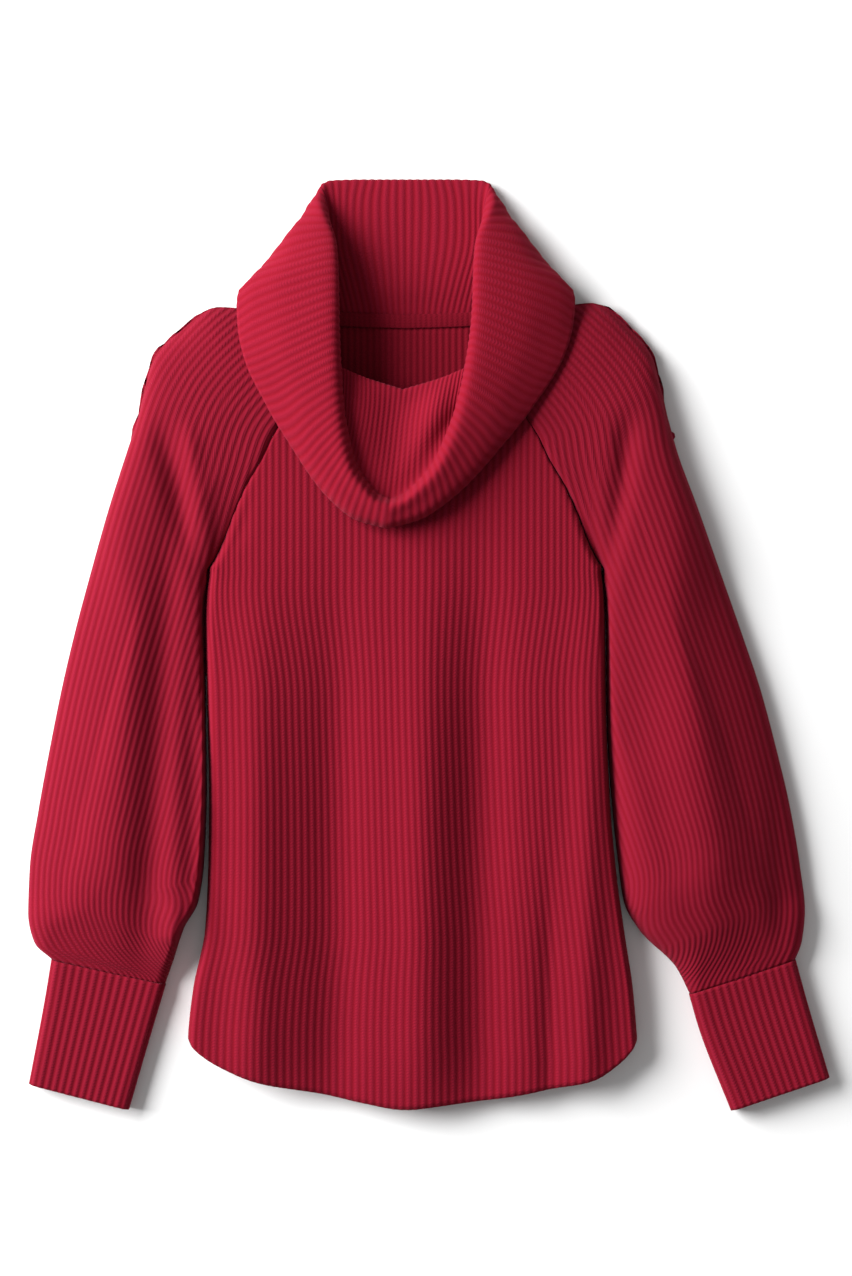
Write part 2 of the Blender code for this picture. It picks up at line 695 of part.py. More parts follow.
def make_sleeve(name, side, colour):
    """Balloon sleeve: one tube from the cuff to the raglan seams and the neck."""
    fold = EDGE_Z * 1000.0
    top = np.linspace(0.0, 1.0, 2 * SLEEVE_RIBS + 1)
    steps = (0.0, 0.02, 0.045, 0.08, 0.13, 0.21, 0.32, 0.43, 0.54, 0.65, 0.75, 0.82, 0.87, 0.91, 0.945, 0.975, 1.0)
    columns = [(False, s) for s in top] + [(True, 1.0 - u) for u in UNDER]
    plain = np.zeros((len(steps), len(columns), 3))
    for i, v in enumerate(steps):
        loft, r_out, r_in = (float(along(SLEEVE_LOFT, v, c)) for c in (1, 2, 3))
        width = float(np.linalg.norm(sleeve_plan(False, 1.0, v, side)[0] - sleeve_plan(False, 0.0, v, side)[0]))
        blend = float(ease((v - 0.55) / 0.45))
        loft_end, out_end, in_end = (float(along(SLEEVE_LOFT, 1.0, c)) for c in (1, 2, 3))
        width_end = float(np.linalg.norm(sleeve_plan(False, 1.0, 1.0, side)[0]
                                         - sleeve_plan(False, 0.0, 1.0, side)[0]))
        for j, (under, s) in enumerate(columns):
            if under:
                share, near, far = (float(a) for a in across(s, width, fold / UNIT / 1000.0, fold / UNIT / 1000.0))
                height = fold * (1.0 - min(near, far))
                plan, high = sleeve_plan(True, share, v, side)
                end = 0.0
                height = height * (1.0 - blend) + blend * high
            else:
                share, near, far = (float(a) for a in across(s, width, r_in / UNIT / 1000.0, r_out / UNIT / 1000.0))
                crown = loft + 2.0 * math.sin(math.pi * share)
                height = crown - (crown - fold) * ((1.0 - near) + (1.0 - far))
                plan, high = sleeve_plan(False, share, v, side)
                shell = float(across(s, width_end, in_end / UNIT / 1000.0, out_end / UNIT / 1000.0)[2])
                end = fold + (loft_end - fold) * shell
                height += blend * (high - height) if v > 0.999 else blend * (high - end) * 0.9
                height = max(height, fold)
                calm = (1.0 - float(ease((v - 0.8) / 0.2))) * min(near, far)
                height += float(relief(plan[0], plan[1])) * calm
            if v < 1.0:
                room = beside_body(plan[1], under, side) + 1.2
                plan[0] = MID + side * max(side * (plan[0] - MID), room)
            plain[i, j] = place(plan[0], plan[1], max(height, 0.0))
    out = normals(plain, True)
    if out[7, SLEEVE_RIBS, 2] < 0.0:
        out = -out
    cut = np.array([seam_direction(under, s, side) for under, s in columns])
    out[-1] = keep_in_plane(out[-1], cut)
    out[0] = keep_in_plane(out[0], wrist_axis(plain[0]))
    lift = np.array([RIB if (not under and j % 2 == 1) else 0.0 for j, (under, s) in enumerate(columns)])
    outer = plain + out * lift[None, :, None] * np.clip(out[:, :, 2:3] * 1.6, 0.0, 1.0)
    inner = plain - out * KNIT
    outer[:, :, 2] = np.maximum(outer[:, :, 2], 0.0)
    keep = list(range(0, 2 * SLEEVE_RIBS + 1, 4)) + list(range(2 * SLEEVE_RIBS + 1, len(columns)))
    return knit(name, colour, outer, inner, keep, True)


def make_cuff(name, first, colour):
    """Cuff: a narrow ribbed tube, flat on the surface."""
    rows = np.linspace(0.0, 1.0, CUFF_ROWS + 1)
    fold = EDGE_Z * 1000.0
    top = np.linspace(0.0, 1.0, 2 * CUFF_RIBS + 1)
    columns = [(False, s) for s in top] + [(True, 1.0 - u) for u in UNDER]
    plain = np.zeros((len(rows), len(columns), 3))
    for i, t in enumerate(rows):
        outer_corner = np.array([float(along(CUFF, t, first)), float(along(CUFF, t, first + 1))])
        inner_corner = np.array([float(along(CUFF, t, first + 2)), float(along(CUFF, t, first + 3))])
        high = float(along(CUFF, t, 9))
        width = float(np.linalg.norm(outer_corner - inner_corner))
        for j, (under, s) in enumerate(columns):
            radius = (fold if under else 9.0) / UNIT / 1000.0
            share, near, far = (float(a) for a in across(s, width, radius, radius))
            plan = inner_corner * (1.0 - share) + outer_corner * share
            if under:
                height = fold * (1.0 - min(near, far))
            else:
                height = fold + (high - fold) * min(near, far)
            plain[i, j] = place(plan[0], plan[1], height)
    out = normals(plain, True)
    if out[1, CUFF_RIBS, 2] < 0.0:
        out = -out
    for i in (0, -1):
        out[i] = keep_in_plane(out[i], wrist_axis(plain[i]))
    lift = np.array([RIB * 1.1 if (not under and j % 2 == 1) else 0.0 for j, (under, s) in enumerate(columns)])
    outer = plain + out * lift[None, :, None] * np.clip(out[:, :, 2:3] * 1.6, 0.0, 1.0)
    inner = plain - out * KNIT
    keep = list(range(0, 2 * CUFF_RIBS + 1, 4)) + list(range(2 * CUFF_RIBS + 1, len(columns)))
    return knit(name, colour, outer, inner, keep, True)


def make_cowl(colour):
    """Cowl: one wide ribbed ring, from the neckline up and over the rim to its free edge."""
    count = 2 * COWL_RIBS
    plain = np.zeros((len(COWL_STEPS), count, 3))
    for c in range(count):
        k = c / COWL_RIBS if c <= COWL_RIBS else (count - c) / COWL_RIBS
        side = -1.0 if c <= COWL_RIBS else 1.0
        knots = []
        neck = np.array([float(along(NECK, k, n)) for n in (1, 2, 3)])
        neck[2] += 2.6 * (1.0 - float(ease((k - 0.30) / 0.14)))
        rise = np.array([float(along(COWL_SEAM_RISE, k, n)) for n in (1, 2, 3)])
        way = (rise - neck)[:2]
        clear = 0.7 + 0.8 * math.exp(-((k - 0.40) / 0.05) ** 2)
        neck[:2] += way / max(float(np.linalg.norm(way)), 1e-6) * clear
        knots.append(neck)
        for table in COWL_LINES:
            knots.append(np.array([float(along(table, k, n)) for n in (1, 2, 3)]))
        for i, step in enumerate(COWL_STEPS):
            a = min(int(step), len(knots) - 2)
            u = step - a
            p1 = knots[a]
            p2 = knots[a + 1]
            p0 = knots[a - 1] if a > 0 else p1 * 2.0 - p2
            p3 = knots[a + 2] if a + 2 < len(knots) else p2 * 2.0 - p1
            m1 = (p2 - p0) * 0.5
            m2 = (p3 - p1) * 0.5
            p = ((2 * u ** 3 - 3 * u ** 2 + 1) * p1 + (u ** 3 - 2 * u ** 2 + u) * m1
                 + (-2 * u ** 3 + 3 * u ** 2) * p2 + (u ** 3 - u ** 2) * m2)
            lean = min(step / 3.0, 1.0) * 18.0 * max(0.0, (p[1] - 300.0) / 220.0) ** 1.6
            plain[i, c] = place(MID - lean + side * p[0], p[1], max(p[2], 0.0))
    out = -normals(plain, True)
    out[0] = keep_in_plane(out[0], (plain[1] - plain[0]) * np.array([1.0, 1.0, 0.0]))
    clear = ease((plain[:, :, 2] - 0.001) / 0.004)
    lift = np.zeros(count)
    lift[1::2] = RIB
    outer = plain + out * (lift[None, :] * clear)[:, :, None]
    inner = plain - out * KNIT
    outer[:, :, 2] = np.maximum(outer[:, :, 2], 0.0)
    return knit("cowl", colour, outer, inner, list(range(0, count, 2)), True)


for old in list(bpy.data.objects):
    bpy.data.objects.remove(old)

red = wool("red_knit", (0.2582, 0.0110, 0.0252))
shade = wool("red_knit_back", (0.1912, 0.0080, 0.0180))
make_back(shade)
make_front(red)
make_sleeve("right_sleeve", -1, red)
make_sleeve("left_sleeve", 1, red)
make_cuff("right_cuff", 1, red)
make_cuff("left_cuff", 5, red)
make_cowl(red)
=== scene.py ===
"""Cowl neck sweater in crimson rib knit, laid flat and front up."""
import math

import bmesh
import bpy
import numpy as np
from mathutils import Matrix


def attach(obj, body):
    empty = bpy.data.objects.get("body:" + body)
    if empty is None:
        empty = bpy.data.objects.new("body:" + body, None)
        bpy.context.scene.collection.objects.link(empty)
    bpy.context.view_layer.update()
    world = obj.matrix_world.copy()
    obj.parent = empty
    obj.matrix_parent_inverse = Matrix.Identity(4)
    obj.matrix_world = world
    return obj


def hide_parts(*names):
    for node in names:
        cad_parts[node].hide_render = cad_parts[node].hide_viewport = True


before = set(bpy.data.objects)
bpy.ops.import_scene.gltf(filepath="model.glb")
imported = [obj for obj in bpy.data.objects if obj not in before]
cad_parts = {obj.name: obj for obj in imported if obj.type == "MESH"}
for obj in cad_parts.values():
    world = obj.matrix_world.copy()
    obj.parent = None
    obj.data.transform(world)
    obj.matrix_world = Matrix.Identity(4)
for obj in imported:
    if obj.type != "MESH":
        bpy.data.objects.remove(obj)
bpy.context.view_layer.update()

# Back: one knitted panel with a curved hem, flat on the table under the front.
# Ribbed wool blend, knitted in one piece and linked to the front at the sides and to the
# sleeves at the raglan seams. It shows inside the neck and at the hem.
UNIT = 0.00086  # metres in one unit of the charts' columns and rows
PER_MM = 1.0 / UNIT / 1000.0  # chart units in one millimetre
SHEET_X = 428.93  # column of the origin
SHEET_Y = 644.48  # row of the origin
MID = 406.0  # column of the body's middle
SIDES = (
    # row, wearer's right edge, wearer's left edge
    (520.0, 208.0, 603.0), (569.0, 207.0, 604.0), (620.0, 204.5, 606.0), (700.0, 206.0, 607.0),
    (800.0, 208.0, 611.0), (870.0, 207.0, 617.0), (930.0, 204.0, 625.0), (990.0, 192.0, 634.0),
    (1035.0, 187.0, 638.0), (1060.0, 186.0, 640.0),
)
HEM = (
    # across from the wearer's right to left side, row
    (-1.0, 1035.0), (-0.92, 1054.0), (-0.83, 1067.0), (-0.65, 1083.0), (-0.40, 1094.0), (-0.20, 1104.0),
    (-0.04, 1109.5), (0.12, 1106.0), (0.40, 1098.0), (0.60, 1089.0), (0.78, 1080.0), (0.92, 1058.0),
    (1.0, 1035.0),
)
RAGLAN = (
    # way along, columns from the middle, row, height in mm
    (0.00, 199.0, 569.0, 8.0), (0.06, 193.4, 562.0, 11.0), (0.14, 184.0, 545.0, 16.5),
    (0.26, 172.0, 515.0, 21.5), (0.40, 159.5, 487.0, 24.0), (0.55, 142.5, 458.0, 25.0),
    (0.68, 132.5, 437.0, 25.0), (0.84, 114.0, 409.0, 25.0), (1.00, 94.0, 380.0, 24.5),
)
RAGLAN_BACK = (
    # way along, columns from the middle, row, height in mm
    (0.00, 199.0, 569.0, 8.0), (0.08, 190.0, 553.0, 3.0), (0.18, 180.0, 531.0, 0.4),
    (0.35, 160.0, 487.0, 0.0), (0.60, 137.0, 420.0, 0.0), (0.85, 112.0, 350.0, 0.0),
    (1.00, 100.0, 312.0, 0.0),
)
NECK = (
    # way round, columns from the middle, row, height in mm
    (0.00, 0.0, 320.0, 0.0), (0.19, 60.0, 318.0, 0.0), (0.32, 100.0, 312.0, 0.0),
    (0.375, 113.0, 309.0, 3.5), (0.44, 117.0, 322.0, 11.5), (0.52, 112.0, 346.0, 18.0),
    (0.60, 102.5, 369.0, 21.5), (0.65, 94.0, 380.0, 22.1), (0.753, 70.0, 403.0, 22.5),
    (0.869, 38.0, 424.0, 22.6), (0.94, 17.0, 430.0, 22.6), (1.00, 0.0, 431.5, 22.6),
)
UNDERARM = 569.0  # row of the underarms
HEM_ROW = 1100.0  # row from which the body's stitches are counted
SIDE_FOLD = 8.0  # height in mm of the fold at the side seams
HALF_RIBS = 31.0  # ribs from the middle of a panel to its side seam
CLOTH = 0.0021  # thickness of the knit in metres
STITCH = 0.0026  # height of one stitch in metres
RIB_ROUND = 0.85  # exponent of the rib's profile: under 1 makes it fuller


def along(table, t, column):
    """Smooth reading of one column of a chart, with no overshoot."""
    rows = np.asarray(table, dtype=float)
    xs, ys = rows[:, 0], rows[:, column]
    t = np.clip(np.asarray(t, dtype=float), xs[0], xs[-1])
    step = np.diff(xs)
    slope = np.diff(ys) / step
    tangent = np.concatenate([slope[:1], np.zeros(len(xs) - 2), slope[-1:]])
    for i in range(1, len(xs) - 1):
        if slope[i - 1] * slope[i] > 0.0:
            a = 2.0 * step[i] + step[i - 1]
            b = step[i] + 2.0 * step[i - 1]
            tangent[i] = (a + b) / (a / slope[i - 1] + b / slope[i])
    k = np.clip(np.searchsorted(xs, t, side="right") - 1, 0, len(xs) - 2)
    u = (t - xs[k]) / step[k]
    return ((1 + 2 * u) * (1 - u) ** 2 * ys[k] + u * (1 - u) ** 2 * step[k] * tangent[k]
            + u * u * (3 - 2 * u) * ys[k + 1] + u * u * (u - 1) * step[k] * tangent[k + 1])


def ease(value):
    """Soft step from 0 to 1."""
    v = np.clip(value, 0.0, 1.0)
    return v * v * (3.0 - 2.0 * v)


def place(column, row, height):
    """Chart column, row and height in mm as points in metres."""
    x, y = (column - SHEET_X) * UNIT, (SHEET_Y - row) * UNIT
    return np.stack(np.broadcast_arrays(x, y, height * 0.001), axis=-1)


def roll_across(s, width, first, second):
    """Share of the plan width and the two lifts at share s of the way over a face with rolled edges."""
    extra = math.pi / 2.0 - 1.0
    length = width + extra * (first + second)
    run = s * length
    back = length - run
    near = np.clip(run / first, 0.0, math.pi / 2.0)
    far = np.clip(back / second, 0.0, math.pi / 2.0)
    plan = np.where(
        run < back,
        np.where(run < first * math.pi / 2.0, first * (1.0 - np.cos(near)), run - extra * first),
        width - np.where(back < second * math.pi / 2.0, second * (1.0 - np.cos(far)), back - extra * second),
    )
    return plan / width, np.sin(near), np.sin(far)


def panel_edge(neck_from, neck_to, raglan, extra):
    """Row and height of a panel's upper edge, by columns from the middle."""
    ways = np.linspace(neck_from, neck_to, 80)
    sew = np.linspace(1.0, 0.0, 200)
    columns = np.concatenate([along(NECK, ways, 1), along(raglan, sew, 1)])
    rows = np.concatenate([along(NECK, ways, 2), along(raglan, sew, 2)])
    heights = np.concatenate([along(NECK, ways, 3) + extra, along(raglan, sew, 3)])
    order = np.argsort(columns, kind="stable")
    return columns[order], rows[order], heights[order]


def face_normals(points, wrapped):
    """Unit normals of a grid of points, rows by columns."""
    down = np.gradient(points, axis=0)
    side = np.gradient(points, axis=1)
    if wrapped:
        side[:, 0] = side[:, -1] = (points[:, 1] - points[:, -2]) * 0.5
    n = np.cross(side, down)
    return n / np.maximum(np.linalg.norm(n, axis=2, keepdims=True), 1e-12)


def rib_height(count):
    """Height of the rib profile, 0 in the groove and 1 on the rib, at a count of ribs."""
    wave = 0.5 - 0.5 * np.cos(2.0 * math.pi * count)
    return wave ** RIB_ROUND


def carved(ribs):
    """Share of the rib relief that the grid is fine enough to model; the rest is in the material."""
    step = np.maximum(np.abs(np.gradient(ribs, axis=0)), np.abs(np.gradient(ribs, axis=1)))
    return 1.0 - ease((step - 0.20) / 0.10)


def knit_piece(name, points, ribs, stitches, outward, wrapped, cloth, thickness):
    """A knitted sheet: a walled grid over the points, with its ribs and stitches as a UV map."""
    rows, cols = points.shape[:2]
    winding = np.cross(np.gradient(points, axis=1), np.gradient(points, axis=0))
    sheet = bmesh.new()
    stitch_map = sheet.loops.layers.uv.new("stitches")
    modelled = sheet.verts.layers.float.new("carved")
    made = bmesh.ops.create_grid(sheet, x_segments=cols - 1, y_segments=rows - 1, size=0.5)
    flat = points.reshape(-1, 3)
    share = carved(ribs).reshape(-1)
    count = ribs.reshape(-1)
    run = stitches.reshape(-1)
    for vert, spot, part in zip(made["verts"], flat, share):
        vert.co = spot
        vert[modelled] = float(part)
    sheet.verts.index_update()
    for face in sheet.faces:
        for loop in face.loops:
            i = loop.vert.index
            loop[stitch_map].uv = (count[i], run[i])
        face.smooth = True
    if float(np.sum(winding * outward)) < 0.0:
        bmesh.ops.reverse_faces(sheet, faces=sheet.faces)
    if wrapped:
        bmesh.ops.remove_doubles(sheet, verts=sheet.verts, dist=1e-6)
    mesh = bpy.data.meshes.new(name)
    sheet.to_mesh(mesh)
    sheet.free()
    mesh.materials.append(cloth)
    piece = bpy.data.objects.new(name, mesh)
    bpy.context.scene.collection.objects.link(piece)
    wall = piece.modifiers.new("wall", "SOLIDIFY")
    wall.thickness = thickness
    wall.offset = -1.0
    walled = piece.evaluated_get(bpy.context.evaluated_depsgraph_get())
    solid = bpy.data.meshes.new_from_object(walled)
    piece.modifiers.clear()
    piece.data = solid
    spots = np.empty(len(solid.vertices) * 3)
    solid.vertices.foreach_get("co", spots)
    spots[2::3] = np.maximum(spots[2::3], 0.0)
    solid.vertices.foreach_set("co", spots)
    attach(piece, "root")
    return piece


def rib_knit(name, shaded_groove, lit_crest, sheen):
    """Soft wool rib: painted shade darkens the grooves, a painted highlight lightens the fuzzy ribs, and
    stitches are in a fine relief.
    """
    cloth = bpy.data.materials.new(name)
    cloth.use_nodes = True
    nodes, links = cloth.node_tree.nodes, cloth.node_tree.links
    shader = nodes["Principled BSDF"]
    shader.inputs["Roughness"].default_value = 0.9
    shader.inputs["Specular IOR Level"].default_value = 0.06
    shader.inputs["Sheen Weight"].default_value = sheen
    shader.inputs["Sheen Roughness"].default_value = 0.45
    shader.inputs["Sheen Tint"].default_value = (1.0, 0.26, 0.38, 1.0)

    def node(kind, **values):
        made = nodes.new(kind)
        for key, value in values.items():
            setattr(made, key, value)
        return made

    def maths(operation, a, b=None):
        made = node("ShaderNodeMath", operation=operation)
        for slot, value in enumerate((a, b)):
            if value is None:
                continue
            if isinstance(value, float):
                made.inputs[slot].default_value = value
            else:
                links.new(value, made.inputs[slot])
        return made.outputs[0]

    modelled = node("ShaderNodeAttribute", attribute_name="carved").outputs["Fac"]
    uv = node("ShaderNodeUVMap", uv_map="stitches").outputs[0]
    split = node("ShaderNodeSeparateXYZ")
    links.new(uv, split.inputs[0])
    place_of = node("ShaderNodeTexCoord").outputs["Object"]
    wave = maths("COSINE", maths("MULTIPLY", split.outputs[0], 2.0 * math.pi))
    rib = maths("POWER", maths("MULTIPLY", maths("SUBTRACT", 1.0, wave), 0.5), RIB_ROUND)

    def noise(scale, detail, roughness=0.6):
        made = node("ShaderNodeTexNoise")
        made.inputs["Scale"].default_value = scale
        made.inputs["Detail"].default_value = detail
        made.inputs["Roughness"].default_value = roughness
        links.new(place_of, made.inputs["Vector"])
        return made.outputs["Fac"]

    # Colour: painted shade in the groove to a painted highlight on the rib, then long soft patches and the
    # fibre's own flecks
    ramp = node("ShaderNodeValToRGB")
    ramp.color_ramp.elements[0].position = 0.05
    ramp.color_ramp.elements[0].color = (*shaded_groove, 1.0)
    ramp.color_ramp.elements[1].position = 0.85
    ramp.color_ramp.elements[1].color = (*lit_crest, 1.0)
    links.new(rib, ramp.inputs[0])
    patches = noise(14.0, 2.0)
    fibre = noise(900.0, 3.0, 0.7)
    tone = maths("MULTIPLY_ADD", patches, 0.10)
    tone.node.inputs[2].default_value = 0.95
    fleck = maths("MULTIPLY_ADD", fibre, 0.34)
    fleck.node.inputs[2].default_value = 0.83
    both = maths("MULTIPLY", tone, fleck)
    mix = node("ShaderNodeMix", data_type="RGBA", blend_type="MULTIPLY")
    mix.inputs[0].default_value = 1.0
    links.new(ramp.outputs[0], mix.inputs[6])
    links.new(both, mix.inputs[7])
    links.new(mix.outputs[2], shader.inputs["Base Color"])

    # Stitches: a chevron up each rib, deeper on the rib than in the groove
    across = maths("FRACT", split.outputs[0])
    lean = maths("ABSOLUTE", maths("SUBTRACT", across, 0.5))
    chevron = maths("ADD", split.outputs[1], maths("MULTIPLY", lean, 1.1))
    swing = maths("SINE", maths("MULTIPLY", chevron, 2.0 * math.pi))
    loop = maths("MULTIPLY", maths("ADD", swing, 1.0), 0.5)
    stitched = maths("MULTIPLY", loop, maths("ADD", maths("MULTIPLY", rib, 0.8), 0.2))
    height = maths("ADD", maths("MULTIPLY", stitched, 0.5), maths("MULTIPLY", fibre, 0.9))
    bump = node("ShaderNodeBump")
    bump.inputs["Strength"].default_value = 0.55
    bump.inputs["Distance"].default_value = 0.0006
    links.new(height, bump.inputs["Height"])
    ridge = node("ShaderNodeBump")
    ridge.inputs["Strength"].default_value = 1.0
    ridge.inputs["Distance"].default_value = 0.0005
    links.new(maths("MULTIPLY", rib, maths("SUBTRACT", 1.0, modelled)), ridge.inputs["Height"])
    links.new(ridge.outputs[0], bump.inputs["Normal"])
    links.new(bump.outputs[0], shader.inputs["Normal"])
    return cloth


BACK_COLUMNS = 372
BACK_LINES = 60
BACK_RIB = 0.0006  # relief of the back's ribs in metres
BACK_LIFT = 0.0027  # height of the back's upper face over what it lies on in metres
BACK_TOP = 0.0081  # the back stays below this height in metres, under the front
# The back's colours are darker than the front's: painted shade for the back seen in the hollow of the neck;
# the yarn is the same.
back_knit = rib_knit("back knit", (0.150, 0.0035, 0.0112), (0.183, 0.0048, 0.0149), 0.06)
back_edge = panel_edge(0.0, 0.32, RAGLAN_BACK, 0.0)
sew_ways = np.linspace(1.0, 0.0, 300)
back_seam_rows = along(RAGLAN_BACK, sew_ways, 2)
back_seam_columns = along(RAGLAN_BACK, sew_ways, 1)


def body_columns(share, row, roll, spread, other=None):
    """Columns and lift of the body's ribs, at shares -1 to 1 across, on their rows."""
    low = np.maximum(row, UNDERARM)
    inset = 0.3 + 1.6 * np.exp(-((low - UNDERARM) / 15.0) ** 2)
    left = along(SIDES, low, 1) + inset
    right = along(SIDES, low, 2) - inset
    fan = 1.0 + spread * ease((700.0 - row) / 140.0)
    h = fan * share - (fan - 1.0) * share ** 5
    plan, near, far = roll_across(0.5 + 0.5 * h, right - left, roll, other or roll)
    return left + plan * (right - left), np.minimum(near, far)


def body_lines(share, roll, spread, edge, lines):
    """Rows of the body's ribs from the hem to the panel's upper edge."""
    hem = along(HEM, share, 1)
    top = np.full(share.shape, UNDERARM)
    for _ in range(14):
        column, lift = body_columns(share, top, roll, spread)
        top = np.interp(np.abs(column - MID) + 0.15, edge[0], edge[1]) + 0.1
    top[0] = top[-1] = UNDERARM + 2.0
    t = np.linspace(0.0, 1.0, lines)[:, None]
    return hem[None, :] + (top - hem)[None, :] * t


share = np.linspace(-1.0, 1.0, BACK_COLUMNS + 1)
rows = body_lines(share, SIDE_FOLD * PER_MM, 0.0, back_edge, BACK_LINES)
columns, lift = body_columns(share[None, :], rows, SIDE_FOLD * PER_MM, 0.0)
seam = np.interp(rows, back_seam_rows, back_seam_columns)
gap_in = np.clip((seam - np.abs(columns - MID)) / (SIDE_FOLD * PER_MM), 0.0, 1.0)
base = np.interp(seam, back_edge[0], back_edge[2])
above = rows <= UNDERARM
rounded = np.sqrt(np.maximum(0.0, 1.0 - (1.0 - gap_in) ** 2))
flat_share = np.where(above, 1.0 - rounded, 1.0 - lift)
low = np.where(above, np.minimum(base, SIDE_FOLD), SIDE_FOLD) * flat_share
back_ribs = np.broadcast_to((share[None, :] + 1.0) * HALF_RIBS, rows.shape)
lower = place(columns, rows, low)
up = face_normals(lower, False)
up = up * np.sign(up[BACK_LINES // 2, BACK_COLUMNS // 2, 2])
face = lower + up * (BACK_LIFT + BACK_RIB * (rib_height(back_ribs) - 0.5))[:, :, None]
face[:, :, 2] = np.minimum(face[:, :, 2], BACK_TOP)
stitches = (HEM_ROW - rows) * UNIT / STITCH
back = knit_piece("back_panel", face, back_ribs, stitches, up, False, back_knit, CLOTH)
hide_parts("back")

# Front: the ribbed panel that shows, from the curved hem to the raglan seams and the neck.
# It is knitted like the back in one piece, rolls over at the side seams and lies in soft
# lengthwise folds that are deepest at the hem.
FRONT_COLUMNS = 372
FRONT_LINES = 118
FRONT_ROLLS = (8.0, 6.5)  # radius in mm of the roll at the wearer's right side and left side
FRONT_FAN = 0.13  # how far the ribs fan out towards the underarms
SEAM_FADE = 22.0  # units from a seam over which the folds fade
NECK_ROW = 380.0  # row where the raglan seams meet the neck
RIB = 0.0005  # relief of the ribs in metres
FRONT_LOFT = (
    # row, height in mm
    (380.0, 24.5), (440.0, 25.0), (560.0, 27.0), (700.0, 28.0), (900.0, 27.0), (1030.0, 23.0),
    (1110.0, 20.0),
)
FOLDS = (
    # from column, row, to column, row, half width in units, height in mm
    (337.0, 590.0, 334.0, 1110.0, 30.0, -8.5), (481.0, 570.0, 479.0, 1110.0, 27.0, -8.5),
    (424.0, 600.0, 421.0, 1110.0, 27.0, 6.5), (258.0, 600.0, 254.0, 1110.0, 27.0, 7.5),
    (588.0, 640.0, 587.0, 1110.0, 17.0, 5.5), (549.0, 860.0, 549.0, 1110.0, 11.0, -3.0),
    (194.0, 590.0, 193.0, 900.0, 13.0, -5.0), (176.0, 480.0, 147.0, 930.0, 19.0, -9.0),
    (198.0, 575.0, 164.0, 430.0, 14.0, -6.0), (213.0, 560.0, 190.0, 430.0, 9.0, 3.5),
    (606.0, 575.0, 628.0, 420.0, 12.0, -6.0), (776.0, 760.0, 782.0, 930.0, 13.0, -4.0),
    (652.0, 470.0, 714.0, 930.0, 30.0, 6.0), (245.0, 440.0, 232.0, 540.0, 12.0, -3.0),
    (178.0, 900.0, 172.0, 940.0, 10.0, 3.0),
)
FOLD_START = (0.25, 0.7)  # shares of a fold's length: how far before its start it begins, and its rise
FOLD_END = (1.15, 0.3)  # where it has faded out, and its fall
# The front's colours are a little lighter than the sleeves': painted light on the same yarn.
front_knit = rib_knit("front knit", (0.174, 0.0036, 0.0119), (0.214, 0.0066, 0.0205), 0.10)


def relief(column, row, folds, start, end):
    """Height in mm of soft folds at places; start and end say how each fades at its two ends."""
    total = np.zeros(np.broadcast(column, row).shape)
    for x0, y0, x1, y1, wide, high in folds:
        dx, dy = x1 - x0, y1 - y0
        length = math.hypot(dx, dy)
        t = ((column - x0) * dx + (row - y0) * dy) / (length * length)
        off = ((column - x0) * dy - (row - y0) * dx) / length
        fades = ease((t + start[0]) / start[1]) * ease((end[0] - t) / end[1])
        total += high * fades * np.exp(-(off / wide) ** 2)
    return total


front_edge = panel_edge(1.0, 0.65, RAGLAN, 2.4)
seam_rows = along(RAGLAN, sew_ways, 2)
seam_columns = along(RAGLAN, sew_ways, 1)
share = np.linspace(-1.0, 1.0, FRONT_COLUMNS + 1)
rolls = [roll * PER_MM for roll in FRONT_ROLLS]
rows = body_lines(share, rolls[0], FRONT_FAN, front_edge, FRONT_LINES)
columns, lift = body_columns(share[None, :], rows, rolls[0], FRONT_FAN, rolls[1])
aside = np.abs(columns - MID)
seam = np.interp(rows, seam_rows, seam_columns)
above = rows <= UNDERARM
edge_height = np.interp(np.where(rows < NECK_ROW, aside, seam), front_edge[0], front_edge[2])
base = np.where(above, edge_height, SIDE_FOLD)
round_off = np.clip((seam - aside) / rolls[0], 0.0, 1.0)
rounded = np.sqrt(np.maximum(0.0, 1.0 - (1.0 - round_off) ** 2))
rise = np.where(above, np.where(rows < NECK_ROW, 1.0, rounded), lift)
half = 0.5 * (along(SIDES, rows, 2) - along(SIDES, rows, 1)) + SEAM_FADE
near_seam = ease((np.where(above, seam, half) - aside) / SEAM_FADE)
loft = along(FRONT_LOFT, rows, 1)
folds = relief(columns, rows, FOLDS, FOLD_START, FOLD_END)
high = base + (loft - base) * rise + folds * near_seam * rise
smooth = place(columns, rows, np.maximum(high, SIDE_FOLD + 0.15))
out = face_normals(smooth, False)
out = out * np.sign(out[FRONT_LINES // 2, FRONT_COLUMNS // 2, 2])
front_ribs = np.broadcast_to((share[None, :] + 1.0) * HALF_RIBS, rows.shape)
fade = np.clip(out[:, :, 2] * 1.6, 0.0, 1.0)
face = smooth + out * (RIB * rib_height(front_ribs) * fade)[:, :, None]
stitches = (HEM_ROW - rows) * UNIT / STITCH
front = knit_piece("front_panel", face, front_ribs, stitches, out, False, front_knit, CLOTH)
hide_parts("front")

